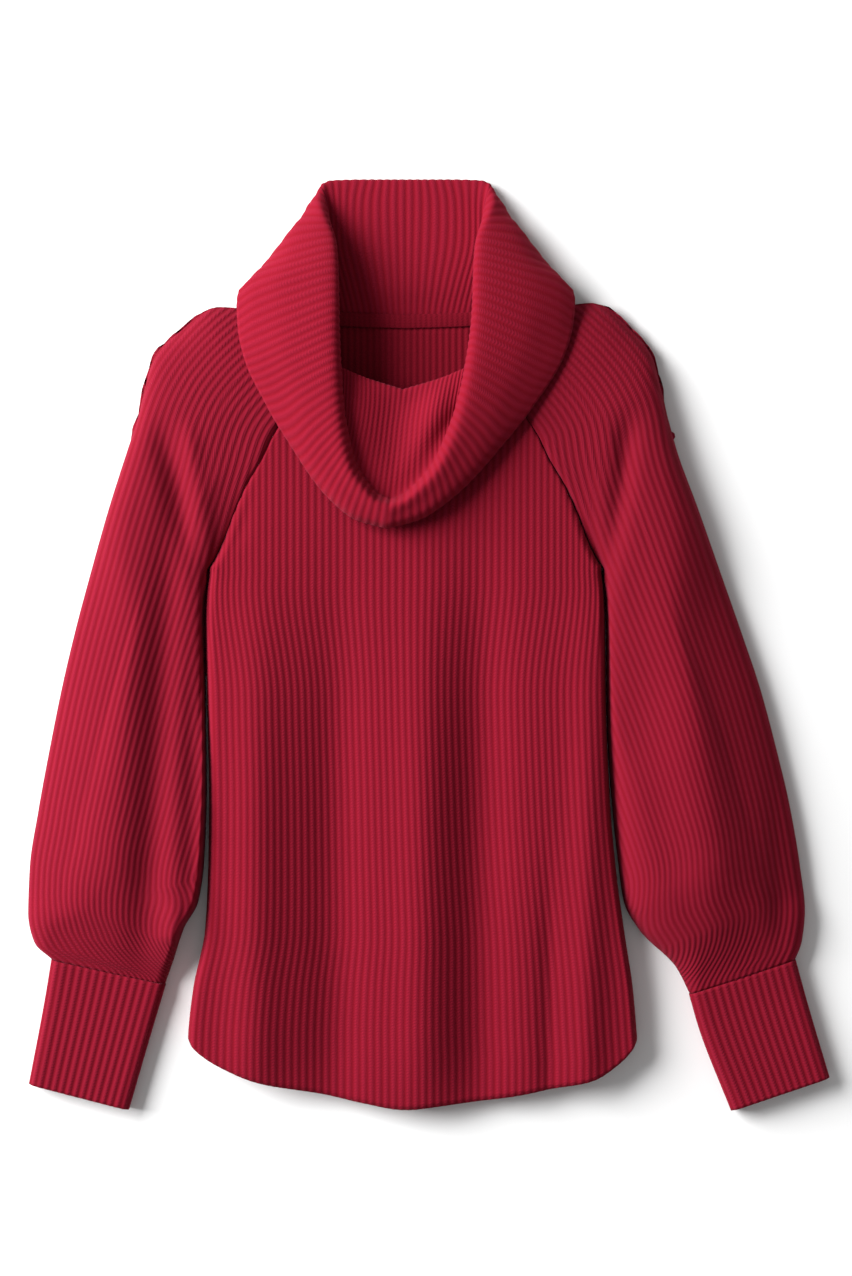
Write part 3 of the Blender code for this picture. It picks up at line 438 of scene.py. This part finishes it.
# Sleeves: two balloon sleeves of the same ribbed knit, full at the wrist, closed into tubes and
# set in with raglan seams. Their ribs run along the outer edge, and the spare ones end in the
# crease beside the body.
OUTER = (
    # way along, right sleeve's column, row, left sleeve's column, row
    (0.000, 50.0, 960.0, 797.0, 960.0), (0.028, 33.0, 944.0, 803.5, 942.0),
    (0.065, 26.5, 915.0, 806.5, 912.0), (0.130, 28.0, 870.0, 802.0, 870.0),
    (0.220, 37.0, 810.0, 792.0, 810.0), (0.310, 48.0, 750.0, 778.0, 750.0),
    (0.410, 60.0, 690.0, 762.0, 690.0), (0.500, 74.0, 630.0, 742.0, 630.0),
    (0.590, 90.0, 570.0, 721.0, 570.0), (0.680, 107.0, 510.0, 700.0, 510.0),
    (0.765, 126.0, 450.0, 678.0, 450.0), (0.815, 136.5, 418.0, 669.0, 418.0),
    (0.855, 144.0, 386.0, 661.5, 386.0), (0.890, 154.0, 354.0, 652.5, 354.0),
    (0.925, 181.0, 328.0, 630.0, 326.0), (0.960, 218.0, 305.0, 592.0, 301.0),
    (1.000, 290.7, 312.6, 521.3, 312.6),
)
INNER = (
    # way along, right sleeve's column, row, left sleeve's column, row
    (0.00, 165.0, 985.0, 690.0, 995.0), (0.07, 173.0, 962.0, 676.0, 968.0),
    (0.16, 184.0, 929.0, 640.0, 932.0), (0.24, 198.0, 903.0, 624.0, 903.0),
    (0.34, 204.0, 862.0, 618.0, 862.0), (0.50, 206.5, 792.0, 611.0, 792.0),
    (0.70, 205.5, 708.0, 607.0, 708.0), (0.88, 203.8, 620.0, 606.5, 620.0),
    (1.00, 207.0, 569.0, 605.0, 569.0),
)
SLEEVE_LOFT = (
    # way along, height in mm, outer rolls of both sleeves in mm, inner rolls in mm, ribs over the face
    (0.00, 16.0, 9.0, 9.0, 9.0, 9.0, 16.0), (0.03, 18.5, 14.0, 14.0, 9.0, 14.0, 18.0),
    (0.07, 24.0, 26.0, 26.0, 7.0, 24.0, 22.5), (0.12, 31.0, 46.0, 44.0, 6.0, 34.0, 26.5),
    (0.22, 38.0, 62.0, 58.0, 5.0, 42.0, 28.0), (0.40, 37.0, 56.0, 52.0, 5.0, 40.0, 29.0),
    (0.55, 33.0, 42.0, 40.0, 5.0, 30.0, 29.0), (0.70, 30.0, 22.0, 24.0, 8.0, 20.0, 29.0),
    (0.85, 26.0, 15.0, 15.0, 11.0, 13.0, 29.0), (1.00, 20.0, 12.0, 12.0, 12.0, 12.0, 29.0),
)
SHOULDER_LEAD = (
    # right sleeve's column, row, where the ribs' lead line leaves the edge over the shoulder
    (137.0, 409.0), (151.0, 374.0), (173.0, 341.0), (203.0, 310.0), (245.0, 274.0), (320.0, 214.0),
)
RIB_PITCH = (
    # row, width of one rib in units
    (560.0, 7.0), (620.0, 6.8), (700.0, 6.5), (800.0, 6.15), (900.0, 5.7), (960.0, 5.6),
)
FACE_COLUMNS = 204
UNDER_COLUMNS = 64
SLEEVE_LINES = 170
SLEEVE_RUN = 745.0  # length in mm along which the sleeve's stitches are counted
SEWN = 0.8  # share of a sleeve's upper edge that lies in the raglan seam; the rest is at the neck
LEAD_MIRROR = 811.0  # a lead line's column on the left sleeve is this less the right sleeve's
CROWDING = 1.25  # exponent that draws the grid's columns together at the outer edge
SLOPE_REACH = 1.25  # reach of the outer slope in rolls
SLOPE_EASE = 1.7  # exponent of the outer slope
sleeve_knit = rib_knit("sleeve knit", (0.169, 0.0036, 0.0120), (0.207, 0.0067, 0.0210), 0.10)


def sleeve_ring(under, s, side):
    """Upper edge of a sleeve from the underarm, up its raglan seam and round the neck to the shoulder."""
    raglan, start = (RAGLAN_BACK, 0.32) if under else (RAGLAN, 0.65)
    t = np.clip(s / SEWN, 0.0, 1.0)
    way = start + (0.40 - start) * np.clip((s - SEWN) / (1.0 - SEWN), 0.0, 1.0)
    sewn = s <= SEWN
    dx = np.where(sewn, along(raglan, t, 1) + 0.1 + 0.3 * (1.0 - ease(t / 0.14)), along(NECK, way, 1) + 0.1)
    row = np.where(sewn, along(raglan, t, 2), along(NECK, way, 2) + 1.2 * ease((s - 0.88) / 0.12))
    high = np.where(sewn, along(raglan, t, 3), along(NECK, way, 3) + 2.4 * ease((way - 0.40) / 0.12))
    return MID + side * dx, row, high


def sleeve_face(under, s, v, side):
    """Columns, rows and ring heights of a sleeve's face: s from the crease out, v up the sleeve."""
    a, b = (1, 2) if side < 0 else (3, 4)
    gap = 0.8 * side
    ring_x, ring_y, ring_z = sleeve_ring(under, s, side)

    def lofted(c, ring, shift):
        inner = along(INNER, v, c) + shift
        outer = along(OUTER, v, c)
        i0, i1 = float(along(INNER, 0.0, c)) + shift, float(along(INNER, 1.0, c)) + shift
        o0, o1 = float(along(OUTER, 0.0, c)), float(along(OUTER, 1.0, c))
        start = i0 * (1.0 - s) + o0 * s
        return (start * (1.0 - v) + ring * v + (inner - i0 * (1.0 - v) - i1 * v) * (1.0 - s)
                + (outer - o0 * (1.0 - v) - o1 * v) * s)

    return lofted(a, ring_x, gap), lofted(b, ring_y, 0.0), ring_z


for name, node, side in (("right_sleeve_knit", "right_sleeve", -1), ("left_sleeve_knit", "left_sleeve", 1)):
    v = np.linspace(0.0, 1.0, SLEEVE_LINES)[:, None]
    outer = sleeve_face(False, 1.0, v, side)
    inner = sleeve_face(False, 0.0, v, side)
    width = np.hypot(outer[0] - inner[0], outer[1] - inner[1])
    chart = (1, 2, 4, 6) if side < 0 else (1, 3, 5, 6)
    loft, r_out, r_in, count = (along(SLEEVE_LOFT, v, c) for c in chart)
    blend = ease((v - 0.55) / 0.45)
    top = 1.0 - (1.0 - np.linspace(0.0, 1.0, FACE_COLUMNS + 1)[None, :]) ** CROWDING
    plan, near, far = roll_across(top, width, r_in * PER_MM, r_out * PER_MM)
    columns, rows, ring_z = sleeve_face(False, plan, v, side)
    from_edge = np.clip((1.0 - plan) * width / (r_out * PER_MM * SLOPE_REACH), 0.0, 1.0)
    slope = 1.0 - (1.0 - from_edge) ** SLOPE_EASE
    far = far + (slope - far) * 0.6 * ease((r_out - 20.0) / 20.0)
    crown = loft + 2.0 * np.sin(math.pi * plan)
    high = crown - (crown - SIDE_FOLD) * ((1.0 - near) + (1.0 - far))
    end = SIDE_FOLD + (20.0 - SIDE_FOLD) * far
    high = high + blend * (ring_z - end) * np.where(v > 0.999, 0.0, 0.9)
    high = np.where(v > 0.999, ring_z, np.maximum(high, SIDE_FOLD))
    folds = relief(columns, rows, FOLDS, FOLD_START, FOLD_END)
    high = high + folds * (1.0 - ease((v - 0.8) / 0.2)) * np.minimum(near, far)
    under = np.linspace(1.0, 0.0, UNDER_COLUMNS + 1)[None, 1:]
    plan_u, near_u, far_u = roll_across(under, width, SIDE_FOLD * PER_MM, SIDE_FOLD * PER_MM)
    plan_u = plan_u * (1.0 - 0.010 * ease((plan_u - 0.7) / 0.3))
    columns_u, rows_u, ring_u = sleeve_face(True, plan_u, v, side)
    over = sleeve_face(False, plan_u, v, side)
    turned = ease((plan_u - 0.55) / 0.35) * ease((1.0 - v) / 0.02)
    columns_u = columns_u * (1.0 - turned) + over[0] * turned
    rows_u = rows_u * (1.0 - turned) + over[1] * turned
    low = SIDE_FOLD * (1.0 - np.minimum(near_u, far_u)) * (1.0 - blend) + blend * ring_u
    columns, rows = np.hstack([columns, columns_u]), np.hstack([rows, rows_u])
    high = np.hstack([high, np.maximum(low, 0.0)])
    limit = np.where(rows > UNDERARM,
                     side * (along(SIDES, rows, 1 if side < 0 else 2) - MID),
                     np.where(rows > NECK_ROW, np.interp(rows, seam_rows, seam_columns), 0.0))
    is_under = np.arange(rows.shape[1])[None, :] > FACE_COLUMNS
    back_seam = np.interp(rows, back_seam_rows, back_seam_columns)
    limit = np.where(is_under & (rows <= UNDERARM), back_seam, limit)
    limit = np.where((rows > 930.0) | (v > 0.9999), -1000.0, limit + 0.35)
    columns = MID + side * np.maximum(side * (columns - MID), limit)
    smooth = place(columns, rows, high)
    smooth[:, -1] = smooth[:, 0]
    out = face_normals(smooth, True)
    out = out * np.sign(out[SLEEVE_LINES // 2, FACE_COLUMNS // 2, 2])
    plan_grid = smooth[:, :FACE_COLUMNS + 1] * np.array([1.0, 1.0, 0.0])
    step_up = np.gradient(plan_grid, axis=0)
    step_up = step_up / np.maximum(np.linalg.norm(step_up, axis=2, keepdims=True), 1e-9)
    step_out = np.diff(plan_grid, axis=1)
    apart = np.linalg.norm(np.cross(step_out, 0.5 * (step_up[:, 1:] + step_up[:, :-1])), axis=2)
    run = np.hstack([np.zeros((SLEEVE_LINES, 1)), np.cumsum(apart, axis=1)])
    even = count * (1.0 - run / run[:, -1:])
    edge = [(row[1], row[2]) if side < 0 else (row[3], row[4]) for row in OUTER if row[0] < 0.8]
    edge += [(x, y) if side < 0 else (LEAD_MIRROR - x, y) for x, y in SHOULDER_LEAD]
    edge = np.array(edge)
    trail = np.concatenate([[0.0], np.cumsum(np.hypot(*np.diff(edge, axis=0).T))])
    steps = np.linspace(0.0, trail[-1], 420)
    even_steps = [np.interp(steps, trail, edge[:, c]) for c in (0, 1)]
    padded = [np.pad(line, 12, mode="reflect", reflect_type="odd") for line in even_steps]
    edge = np.stack([np.convolve(line, np.full(25, 0.04), mode="valid") for line in padded], axis=1)
    spots = np.stack([columns[:, :FACE_COLUMNS + 1], rows[:, :FACE_COLUMNS + 1]], axis=2).reshape(-1, 1, 2)
    off = np.concatenate([np.min(np.hypot(*np.moveaxis(part - edge[None], 2, 0)), axis=1)
                          for part in np.array_split(spots, 60)]).reshape(even.shape)
    parallel = off / along(RIB_PITCH, rows[:, :FACE_COLUMNS + 1], 1)
    gather = ease((v - 0.13) / 0.17)
    ribs = np.hstack([even * (1.0 - gather) + parallel * gather, count * (1.0 - under)])
    ribs[:, -1] = ribs[:, 0]
    fade = np.where(is_under, 0.0, np.clip(out[:, :, 2] * 1.6, 0.0, 1.0))
    face = smooth + out * (RIB * rib_height(ribs) * carved(ribs) * fade)[:, :, None]
    face[:, :, 2] = np.maximum(face[:, :, 2], 0.0)
    stitches = np.broadcast_to(v * SLEEVE_RUN * 0.001 / STITCH, ribs.shape)
    sleeve = knit_piece(name, face, ribs, stitches, out, True, sleeve_knit, CLOTH)
    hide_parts(node)

# Cuffs: two long, narrow ribbed tubes, one linked to the full end of each sleeve.
# A tighter rib of the same yarn, cast off at the wrist and folded flat with its sleeve.
CUFFS = (
    # way down, right outer column, row, inner column, row, left outer column, row, inner column, row, mm
    (0.0, 50.0, 960.4, 165.0, 985.4, 797.0, 960.4, 690.0, 995.4, 18.0),
    (0.3, 43.5, 1000.0, 154.0, 1022.0, 807.0, 997.0, 700.0, 1030.0, 17.0),
    (1.0, 27.5, 1085.0, 128.0, 1111.0, 831.0, 1078.5, 732.0, 1112.0, 17.0),
)
CUFF_RIBS = 16.0
CUFF_LINES = 44
CUFF_COLUMNS = 128
CUFF_UNDER = 48
CUFF_ROLL = 9.0  # radius in mm of the fold at a cuff's two sides
CUFF_RIB = 0.0007  # relief of the cuff's ribs in metres
CUFF_STITCHES = 42.0
cuff_knit = rib_knit("cuff knit", (0.168, 0.0037, 0.0120), (0.207, 0.0067, 0.0208), 0.10)
for name, node, first in (("right_cuff_rib", "right_cuff", 1), ("left_cuff_rib", "left_cuff", 5)):
    t = np.linspace(0.0, 1.0, CUFF_LINES)[:, None]
    outer_x, outer_y, inner_x, inner_y = (along(CUFFS, t, first + n) for n in range(4))
    width = np.hypot(outer_x - inner_x, outer_y - inner_y)
    top = np.linspace(0.0, 1.0, CUFF_COLUMNS + 1)[None, :]
    below = np.linspace(1.0, 0.0, CUFF_UNDER + 1)[None, 1:]
    plan, near, far = roll_across(top, width, CUFF_ROLL * PER_MM, CUFF_ROLL * PER_MM)
    plan_u, near_u, far_u = roll_across(below, width, SIDE_FOLD * PER_MM, SIDE_FOLD * PER_MM)
    crown = along(CUFFS, t, 9)
    high = np.hstack([SIDE_FOLD + (crown - SIDE_FOLD) * np.minimum(near, far),
                      SIDE_FOLD * (1.0 - np.minimum(near_u, far_u))])
    plan = np.hstack([plan, plan_u])
    smooth = place(inner_x + (outer_x - inner_x) * plan, inner_y + (outer_y - inner_y) * plan, high)
    smooth[:, -1] = smooth[:, 0]
    out = face_normals(smooth, True)
    out = out * np.sign(out[CUFF_LINES // 2, CUFF_COLUMNS // 2, 2])
    ribs = np.broadcast_to(np.hstack([CUFF_RIBS * top, CUFF_RIBS * below]), plan.shape).copy()
    ribs[:, -1] = ribs[:, 0]
    is_under = np.arange(plan.shape[1])[None, :] > CUFF_COLUMNS
    fade = np.where(is_under, 0.0, np.clip(out[:, :, 2] * 1.6, 0.0, 1.0))
    face = smooth + out * (CUFF_RIB * rib_height(ribs) * fade)[:, :, None]
    face[:, :, 2] = np.maximum(face[:, :, 2], 0.0)
    stitches = np.broadcast_to(t * CUFF_STITCHES, ribs.shape)
    cuff = knit_piece(name, face, ribs, stitches, out, True, cuff_knit, CLOTH)
    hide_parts(node)

# Cowl: the deep funnel collar, a wide ribbed ring knitted on from the neckline.
# It stands up behind the neck, folds over its soft rim and hangs down in front in two wide lobes
# that meet in a point; behind, its flap lies on the table under the neck.
COWL_LINES = (
    # lines round the cowl from its seam to its free edge; in each one:
    # way round from the back, columns from the middle, row, height in mm
    (  # just above the seam
        (0.00, 0.0, 303.0, 4.8), (0.20, 66.0, 301.0, 5.0), (0.30, 91.0, 298.0, 6.5),
        (0.375, 106.0, 300.0, 9.0), (0.45, 108.0, 314.0, 15.5), (0.53, 102.0, 341.0, 20.0),
        (0.66, 85.0, 374.0, 23.5), (0.76, 66.0, 388.0, 24.0), (0.87, 39.0, 403.0, 24.5),
        (1.00, 0.0, 408.0, 24.8),
    ),
    (  # before the valley
        (0.00, 0.0, 282.0, 7.3), (0.20, 70.0, 280.0, 7.5), (0.273, 82.0, 280.0, 9.0),
        (0.343, 93.0, 288.0, 12.0), (0.411, 97.0, 298.0, 18.0), (0.525, 92.0, 335.0, 26.0),
        (0.656, 74.0, 364.0, 29.0), (0.76, 61.0, 369.0, 30.5), (0.87, 37.0, 379.0, 31.0),
        (1.00, 0.0, 391.0, 31.0),
    ),
    (  # inside the drape
        (0.00, 0.0, 240.0, 7.6), (0.20, 76.0, 245.0, 9.0), (0.273, 80.0, 253.0, 13.0),
        (0.343, 82.0, 270.0, 18.0), (0.411, 84.0, 287.0, 25.0), (0.525, 79.0, 328.0, 32.5),
        (0.656, 68.0, 366.0, 35.0), (0.76, 58.0, 394.0, 36.5), (0.87, 34.0, 415.0, 38.0),
        (1.00, 0.0, 428.0, 38.5),
    ),
    (  # inner valley
        (0.00, 0.0, 202.0, 7.4), (0.17, 72.0, 202.0, 8.2), (0.20, 79.0, 206.0, 9.5),
        (0.273, 76.5, 232.0, 15.5), (0.343, 71.5, 258.0, 22.0), (0.411, 72.0, 280.0, 30.0),
        (0.525, 69.5, 324.0, 37.0), (0.656, 64.0, 374.0, 39.0), (0.741, 57.0, 410.0, 39.0),
        (0.823, 47.0, 440.0, 38.0), (0.876, 37.0, 460.0, 37.0), (0.927, 22.0, 479.0, 36.0),
        (1.00, 0.0, 493.0, 35.5),
    ),
    (  # top of the rim
        (0.00, 0.0, 179.5, 5.4), (0.10, 42.0, 179.5, 5.4), (0.17, 74.0, 180.5, 6.3),
        (0.20, 83.0, 188.0, 10.5), (0.236, 80.0, 203.0, 15.5), (0.273, 76.5, 219.0, 21.0),
        (0.343, 69.0, 247.0, 29.0), (0.411, 67.0, 275.0, 36.0), (0.525, 65.5, 322.0, 42.0),
        (0.656, 60.5, 376.0, 44.5), (0.741, 55.0, 411.0, 45.0), (0.823, 46.0, 445.0, 44.5),
        (0.876, 38.5, 466.0, 43.5), (0.927, 25.0, 484.0, 42.5), (0.968, 11.5, 497.0, 42.0),
        (1.00, 0.0, 501.0, 42.0),
    ),
    (  # outer side of the rim
        (0.00, 0.0, 179.5, 1.8), (0.10, 42.0, 179.5, 1.8), (0.17, 76.0, 180.5, 2.2),
        (0.20, 86.0, 184.0, 5.5), (0.236, 89.0, 197.0, 16.0), (0.273, 85.0, 215.0, 26.0),
        (0.343, 77.0, 243.0, 35.5), (0.411, 75.0, 271.0, 43.0), (0.525, 74.0, 321.0, 49.5),
        (0.656, 69.0, 378.0, 52.0), (0.741, 62.5, 417.0, 52.0), (0.823, 52.0, 452.0, 51.5),
        (0.876, 42.0, 474.0, 51.0), (0.927, 27.0, 492.0, 50.5), (0.968, 12.5, 504.0, 50.0),
        (1.00, 0.0, 508.0, 50.0),
    ),
    (  # flap as it comes over
        (0.00, 0.0, 200.0, 0.0), (0.17, 78.0, 200.0, 0.0), (0.20, 88.0, 202.0, 0.6),
        (0.236, 97.0, 203.0, 6.5), (0.273, 104.0, 215.0, 13.5), (0.30, 112.0, 228.0, 20.0),
        (0.343, 117.0, 252.0, 29.0), (0.411, 120.0, 283.0, 38.5), (0.525, 115.0, 338.0, 45.0),
        (0.656, 97.0, 393.0, 47.5), (0.741, 81.0, 433.0, 48.0), (0.823, 62.0, 467.0, 48.0),
        (0.876, 48.0, 488.0, 48.0), (0.927, 30.0, 505.0, 47.5), (1.00, 0.0, 520.0, 47.5),
    ),
    (  # flap as it bends down
        (0.00, 0.0, 245.0, 0.0), (0.20, 90.0, 245.0, 0.0), (0.236, 99.0, 232.0, 0.4),
        (0.273, 107.0, 236.0, 2.0), (0.30, 121.5, 242.0, 6.5), (0.343, 142.0, 263.0, 14.0),
        (0.38, 150.0, 277.0, 24.0), (0.411, 151.0, 293.0, 30.0), (0.525, 144.0, 350.0, 36.0),
        (0.656, 117.0, 406.0, 39.5), (0.741, 94.0, 447.0, 41.5), (0.823, 70.0, 480.0, 43.0),
        (0.876, 52.0, 500.0, 44.0), (0.927, 32.0, 514.5, 44.5), (1.00, 0.0, 526.0, 44.5),
    ),
    (  # free edge
        (0.00, 0.0, 291.0, 0.0), (0.20, 95.0, 290.0, 0.0), (0.273, 117.0, 288.0, 0.0),
        (0.30, 129.0, 285.0, 0.4), (0.343, 150.0, 283.0, 5.0), (0.38, 167.0, 290.0, 17.0),
        (0.411, 169.0, 304.0, 22.0), (0.46, 167.0, 328.0, 25.5), (0.525, 160.0, 356.0, 29.5),
        (0.656, 131.0, 410.0, 32.5), (0.741, 102.0, 451.0, 34.0), (0.823, 74.5, 486.0, 36.0),
        (0.876, 53.5, 506.0, 37.0), (0.927, 33.0, 520.0, 38.0), (1.00, 0.0, 529.5, 38.0),
    ),
)
DRAPE_FOLDS = (
    # from column, row, to column, row, half width in units, height in mm
    (398.0, 396.0, 390.0, 480.0, 26.0, -6.5), (440.0, 396.0, 412.0, 482.0, 15.0, 4.5),
    (456.0, 426.0, 398.0, 502.0, 8.0, -4.0),
)
DRAPE_START = (0.35, 0.45)
DRAPE_END = (1.3, 0.45)
DRAPE_LEAN = 18.0  # units by which the cowl's lowest point leans to the wearer's right
COWL_RIBS = 108
COWL_STEPS = 58
COWL_STITCHES = 0.32 / STITCH  # fine stitches, counted from the seam to the free edge
POINTS_PER_RIB = 6
# The cowl's colours are lighter than the body's: painted light on the raised collar; the yarn is the same.
cowl_knit = rib_knit("cowl knit", (0.202, 0.0043, 0.0140), (0.226, 0.0069, 0.0215), 0.10)
half_round = COWL_RIBS * POINTS_PER_RIB // 2
way = np.linspace(0.0, 1.0, half_round + 1)
way = np.concatenate([way, way[-2::-1]])
side = np.where(np.arange(way.size) <= half_round, -1.0, 1.0)
neck = np.stack([along(NECK, way, n) for n in (1, 2, 3)], axis=1)
neck[:, 2] += 2.6 * (1.0 - ease((way - 0.30) / 0.14))
lines = [np.stack([along(line, way, n) for n in (1, 2, 3)], axis=1) for line in COWL_LINES]
toward = (lines[0] - neck)[:, :2]
toward = toward / np.maximum(np.linalg.norm(toward, axis=1, keepdims=True), 1e-6)
neck[:, :2] += toward * (0.7 + 0.8 * np.exp(-((way - 0.40) / 0.05) ** 2))[:, None]
knots = [neck] + lines
face_lines = []
for step in np.linspace(0.0, len(COWL_LINES), COWL_STEPS):
    a = min(int(step), len(knots) - 2)
    u = step - a
    p1, p2 = knots[a], knots[a + 1]
    p0 = knots[a - 1] if a > 0 else p1 * 2.0 - p2
    p3 = knots[a + 2] if a + 2 < len(knots) else p2 * 2.0 - p1
    p = ((2 * u ** 3 - 3 * u ** 2 + 1) * p1 + (u ** 3 - 2 * u ** 2 + u) * (p2 - p0) * 0.5
         + (-2 * u ** 3 + 3 * u ** 2) * p2 + (u ** 3 - u ** 2) * (p3 - p1) * 0.5)
    lean = min(step / 3.0, 1.0) * DRAPE_LEAN * np.maximum(0.0, (p[:, 1] - 300.0) / 220.0) ** 1.6
    columns = MID - lean + side * p[:, 0]
    in_drape = float(ease((step - 2.0) / 0.8) * ease((3.8 - step) / 0.6))
    high = p[:, 2] + relief(columns, p[:, 1], DRAPE_FOLDS, DRAPE_START, DRAPE_END) * in_drape
    face_lines.append(place(columns, p[:, 1], np.maximum(high, 0.0)))
smooth = np.stack(face_lines)
smooth[:, -1] = smooth[:, 0]
out = face_normals(smooth, True)
out = out * np.sign(out[COWL_STEPS // 3, 0, 2])
ribs = np.broadcast_to((np.arange(way.size) / POINTS_PER_RIB)[None, :], smooth.shape[:2])
clear = ease((smooth[:, :, 2] - 0.001) / 0.004)
face = smooth + out * (RIB * rib_height(ribs) * clear)[:, :, None]
face[:, :, 2] = np.maximum(face[:, :, 2], 0.0)
stitches = np.broadcast_to(np.linspace(0.0, COWL_STITCHES, COWL_STEPS)[:, None], ribs.shape)
cowl = knit_piece("cowl_rib", face, ribs, stitches, out, True, cowl_knit, CLOTH)
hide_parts("cowl")

# Back neck band: a narrow plain strip that covers the join of the cowl and the back panel.
# Flat knit of the same yarn, linked down along both edges inside the back of the neck.
BAND_COLUMNS = 160
BAND_LINES = 12
BAND_REACH = 0.31  # way round the neck that the band covers on each side of the middle
BAND_WIDTH = 13.7  # width in units
BAND_CLOTH = 0.0010  # thickness in metres
# The band's colours are darker than the front's: painted shade inside the back of the neck; the yarn is the
# same.
band_knit = rib_knit("band knit", (0.159, 0.0039, 0.0124), (0.178, 0.0047, 0.0147), 0.06)
spread = np.linspace(-BAND_REACH, BAND_REACH, BAND_COLUMNS + 1)[None, :]
down = np.linspace(0.0, 1.0, BAND_LINES + 1)[:, None]
columns = MID + np.sign(spread) * along(NECK, np.abs(spread), 1)
rows = along(NECK, np.abs(spread), 2) + 6.7 - BAND_WIDTH * (1.0 - down)
high = 5.9 - 1.3 * down + 0.5 * np.sin(math.pi * down)
strip = place(columns, rows, high)
up = np.zeros(strip.shape)
up[:, :, 2] = 1.0
band_ribs = np.broadcast_to(spread * 60.0, rows.shape)
stitches = np.broadcast_to(down * 5.0, rows.shape)
band = knit_piece("back_neck_band", strip, band_ribs, stitches, up, False, band_knit, BAND_CLOTH)

# Table: a plain near-white surface that the sweater lies on, smooth and without shine.
# A soft lamp stands at its upper left and the camera looks straight down.
floor_mesh = bpy.data.meshes.new("floor")
table_shape = bmesh.new()
bmesh.ops.create_grid(table_shape, x_segments=1, y_segments=1, size=12.0)
table_shape.to_mesh(floor_mesh)
table_shape.free()
floor = bpy.data.objects.new("floor", floor_mesh)
bpy.context.scene.collection.objects.link(floor)
paper = bpy.data.materials.new("pale surface")
paper.use_nodes = True
surface = paper.node_tree.nodes["Principled BSDF"]
surface.inputs["Base Color"].default_value = (0.93, 0.93, 0.93, 1.0)
surface.inputs["Roughness"].default_value = 0.9
surface.inputs["Specular IOR Level"].default_value = 0.1
floor_mesh.materials.append(paper)


def lamp(name, spot, aim, size, power):
    """Square soft lamp at a spot, turned to its aim."""
    light = bpy.data.lights.new(name, "AREA")
    light.size = size
    light.energy = power
    made = bpy.data.objects.new(name, light)
    made.location = spot
    toward = [a - b for a, b in zip(aim, spot)]
    made.rotation_euler = (math.acos(-toward[2] / math.hypot(*toward)), 0.0,
                           math.atan2(toward[1], toward[0]) - math.pi / 2.0)
    bpy.context.scene.collection.objects.link(made)


lamp("window", spot=(-3.0, 1.2, 1.72), aim=(0.0, 0.0, 0.0), size=2.6, power=385.0)
world = bpy.data.worlds.new("room")
world.use_nodes = True
sky = world.node_tree.nodes["Background"]
sky.inputs["Color"].default_value = (1.0, 1.0, 1.0, 1.0)
sky.inputs["Strength"].default_value = 0.29
bpy.context.scene.world = world
bpy.context.scene.view_settings.view_transform = "Standard"

lens = bpy.data.cameras.new("camera")
lens.lens = 85.0
lens.sensor_width = 36.0
camera = bpy.data.objects.new("camera", lens)
camera.location = (-0.0025, 0.0056, 2.61)
camera.rotation_euler = (0.0, 0.0, 0.0)
bpy.context.scene.collection.objects.link(camera)
bpy.context.scene.camera = camera
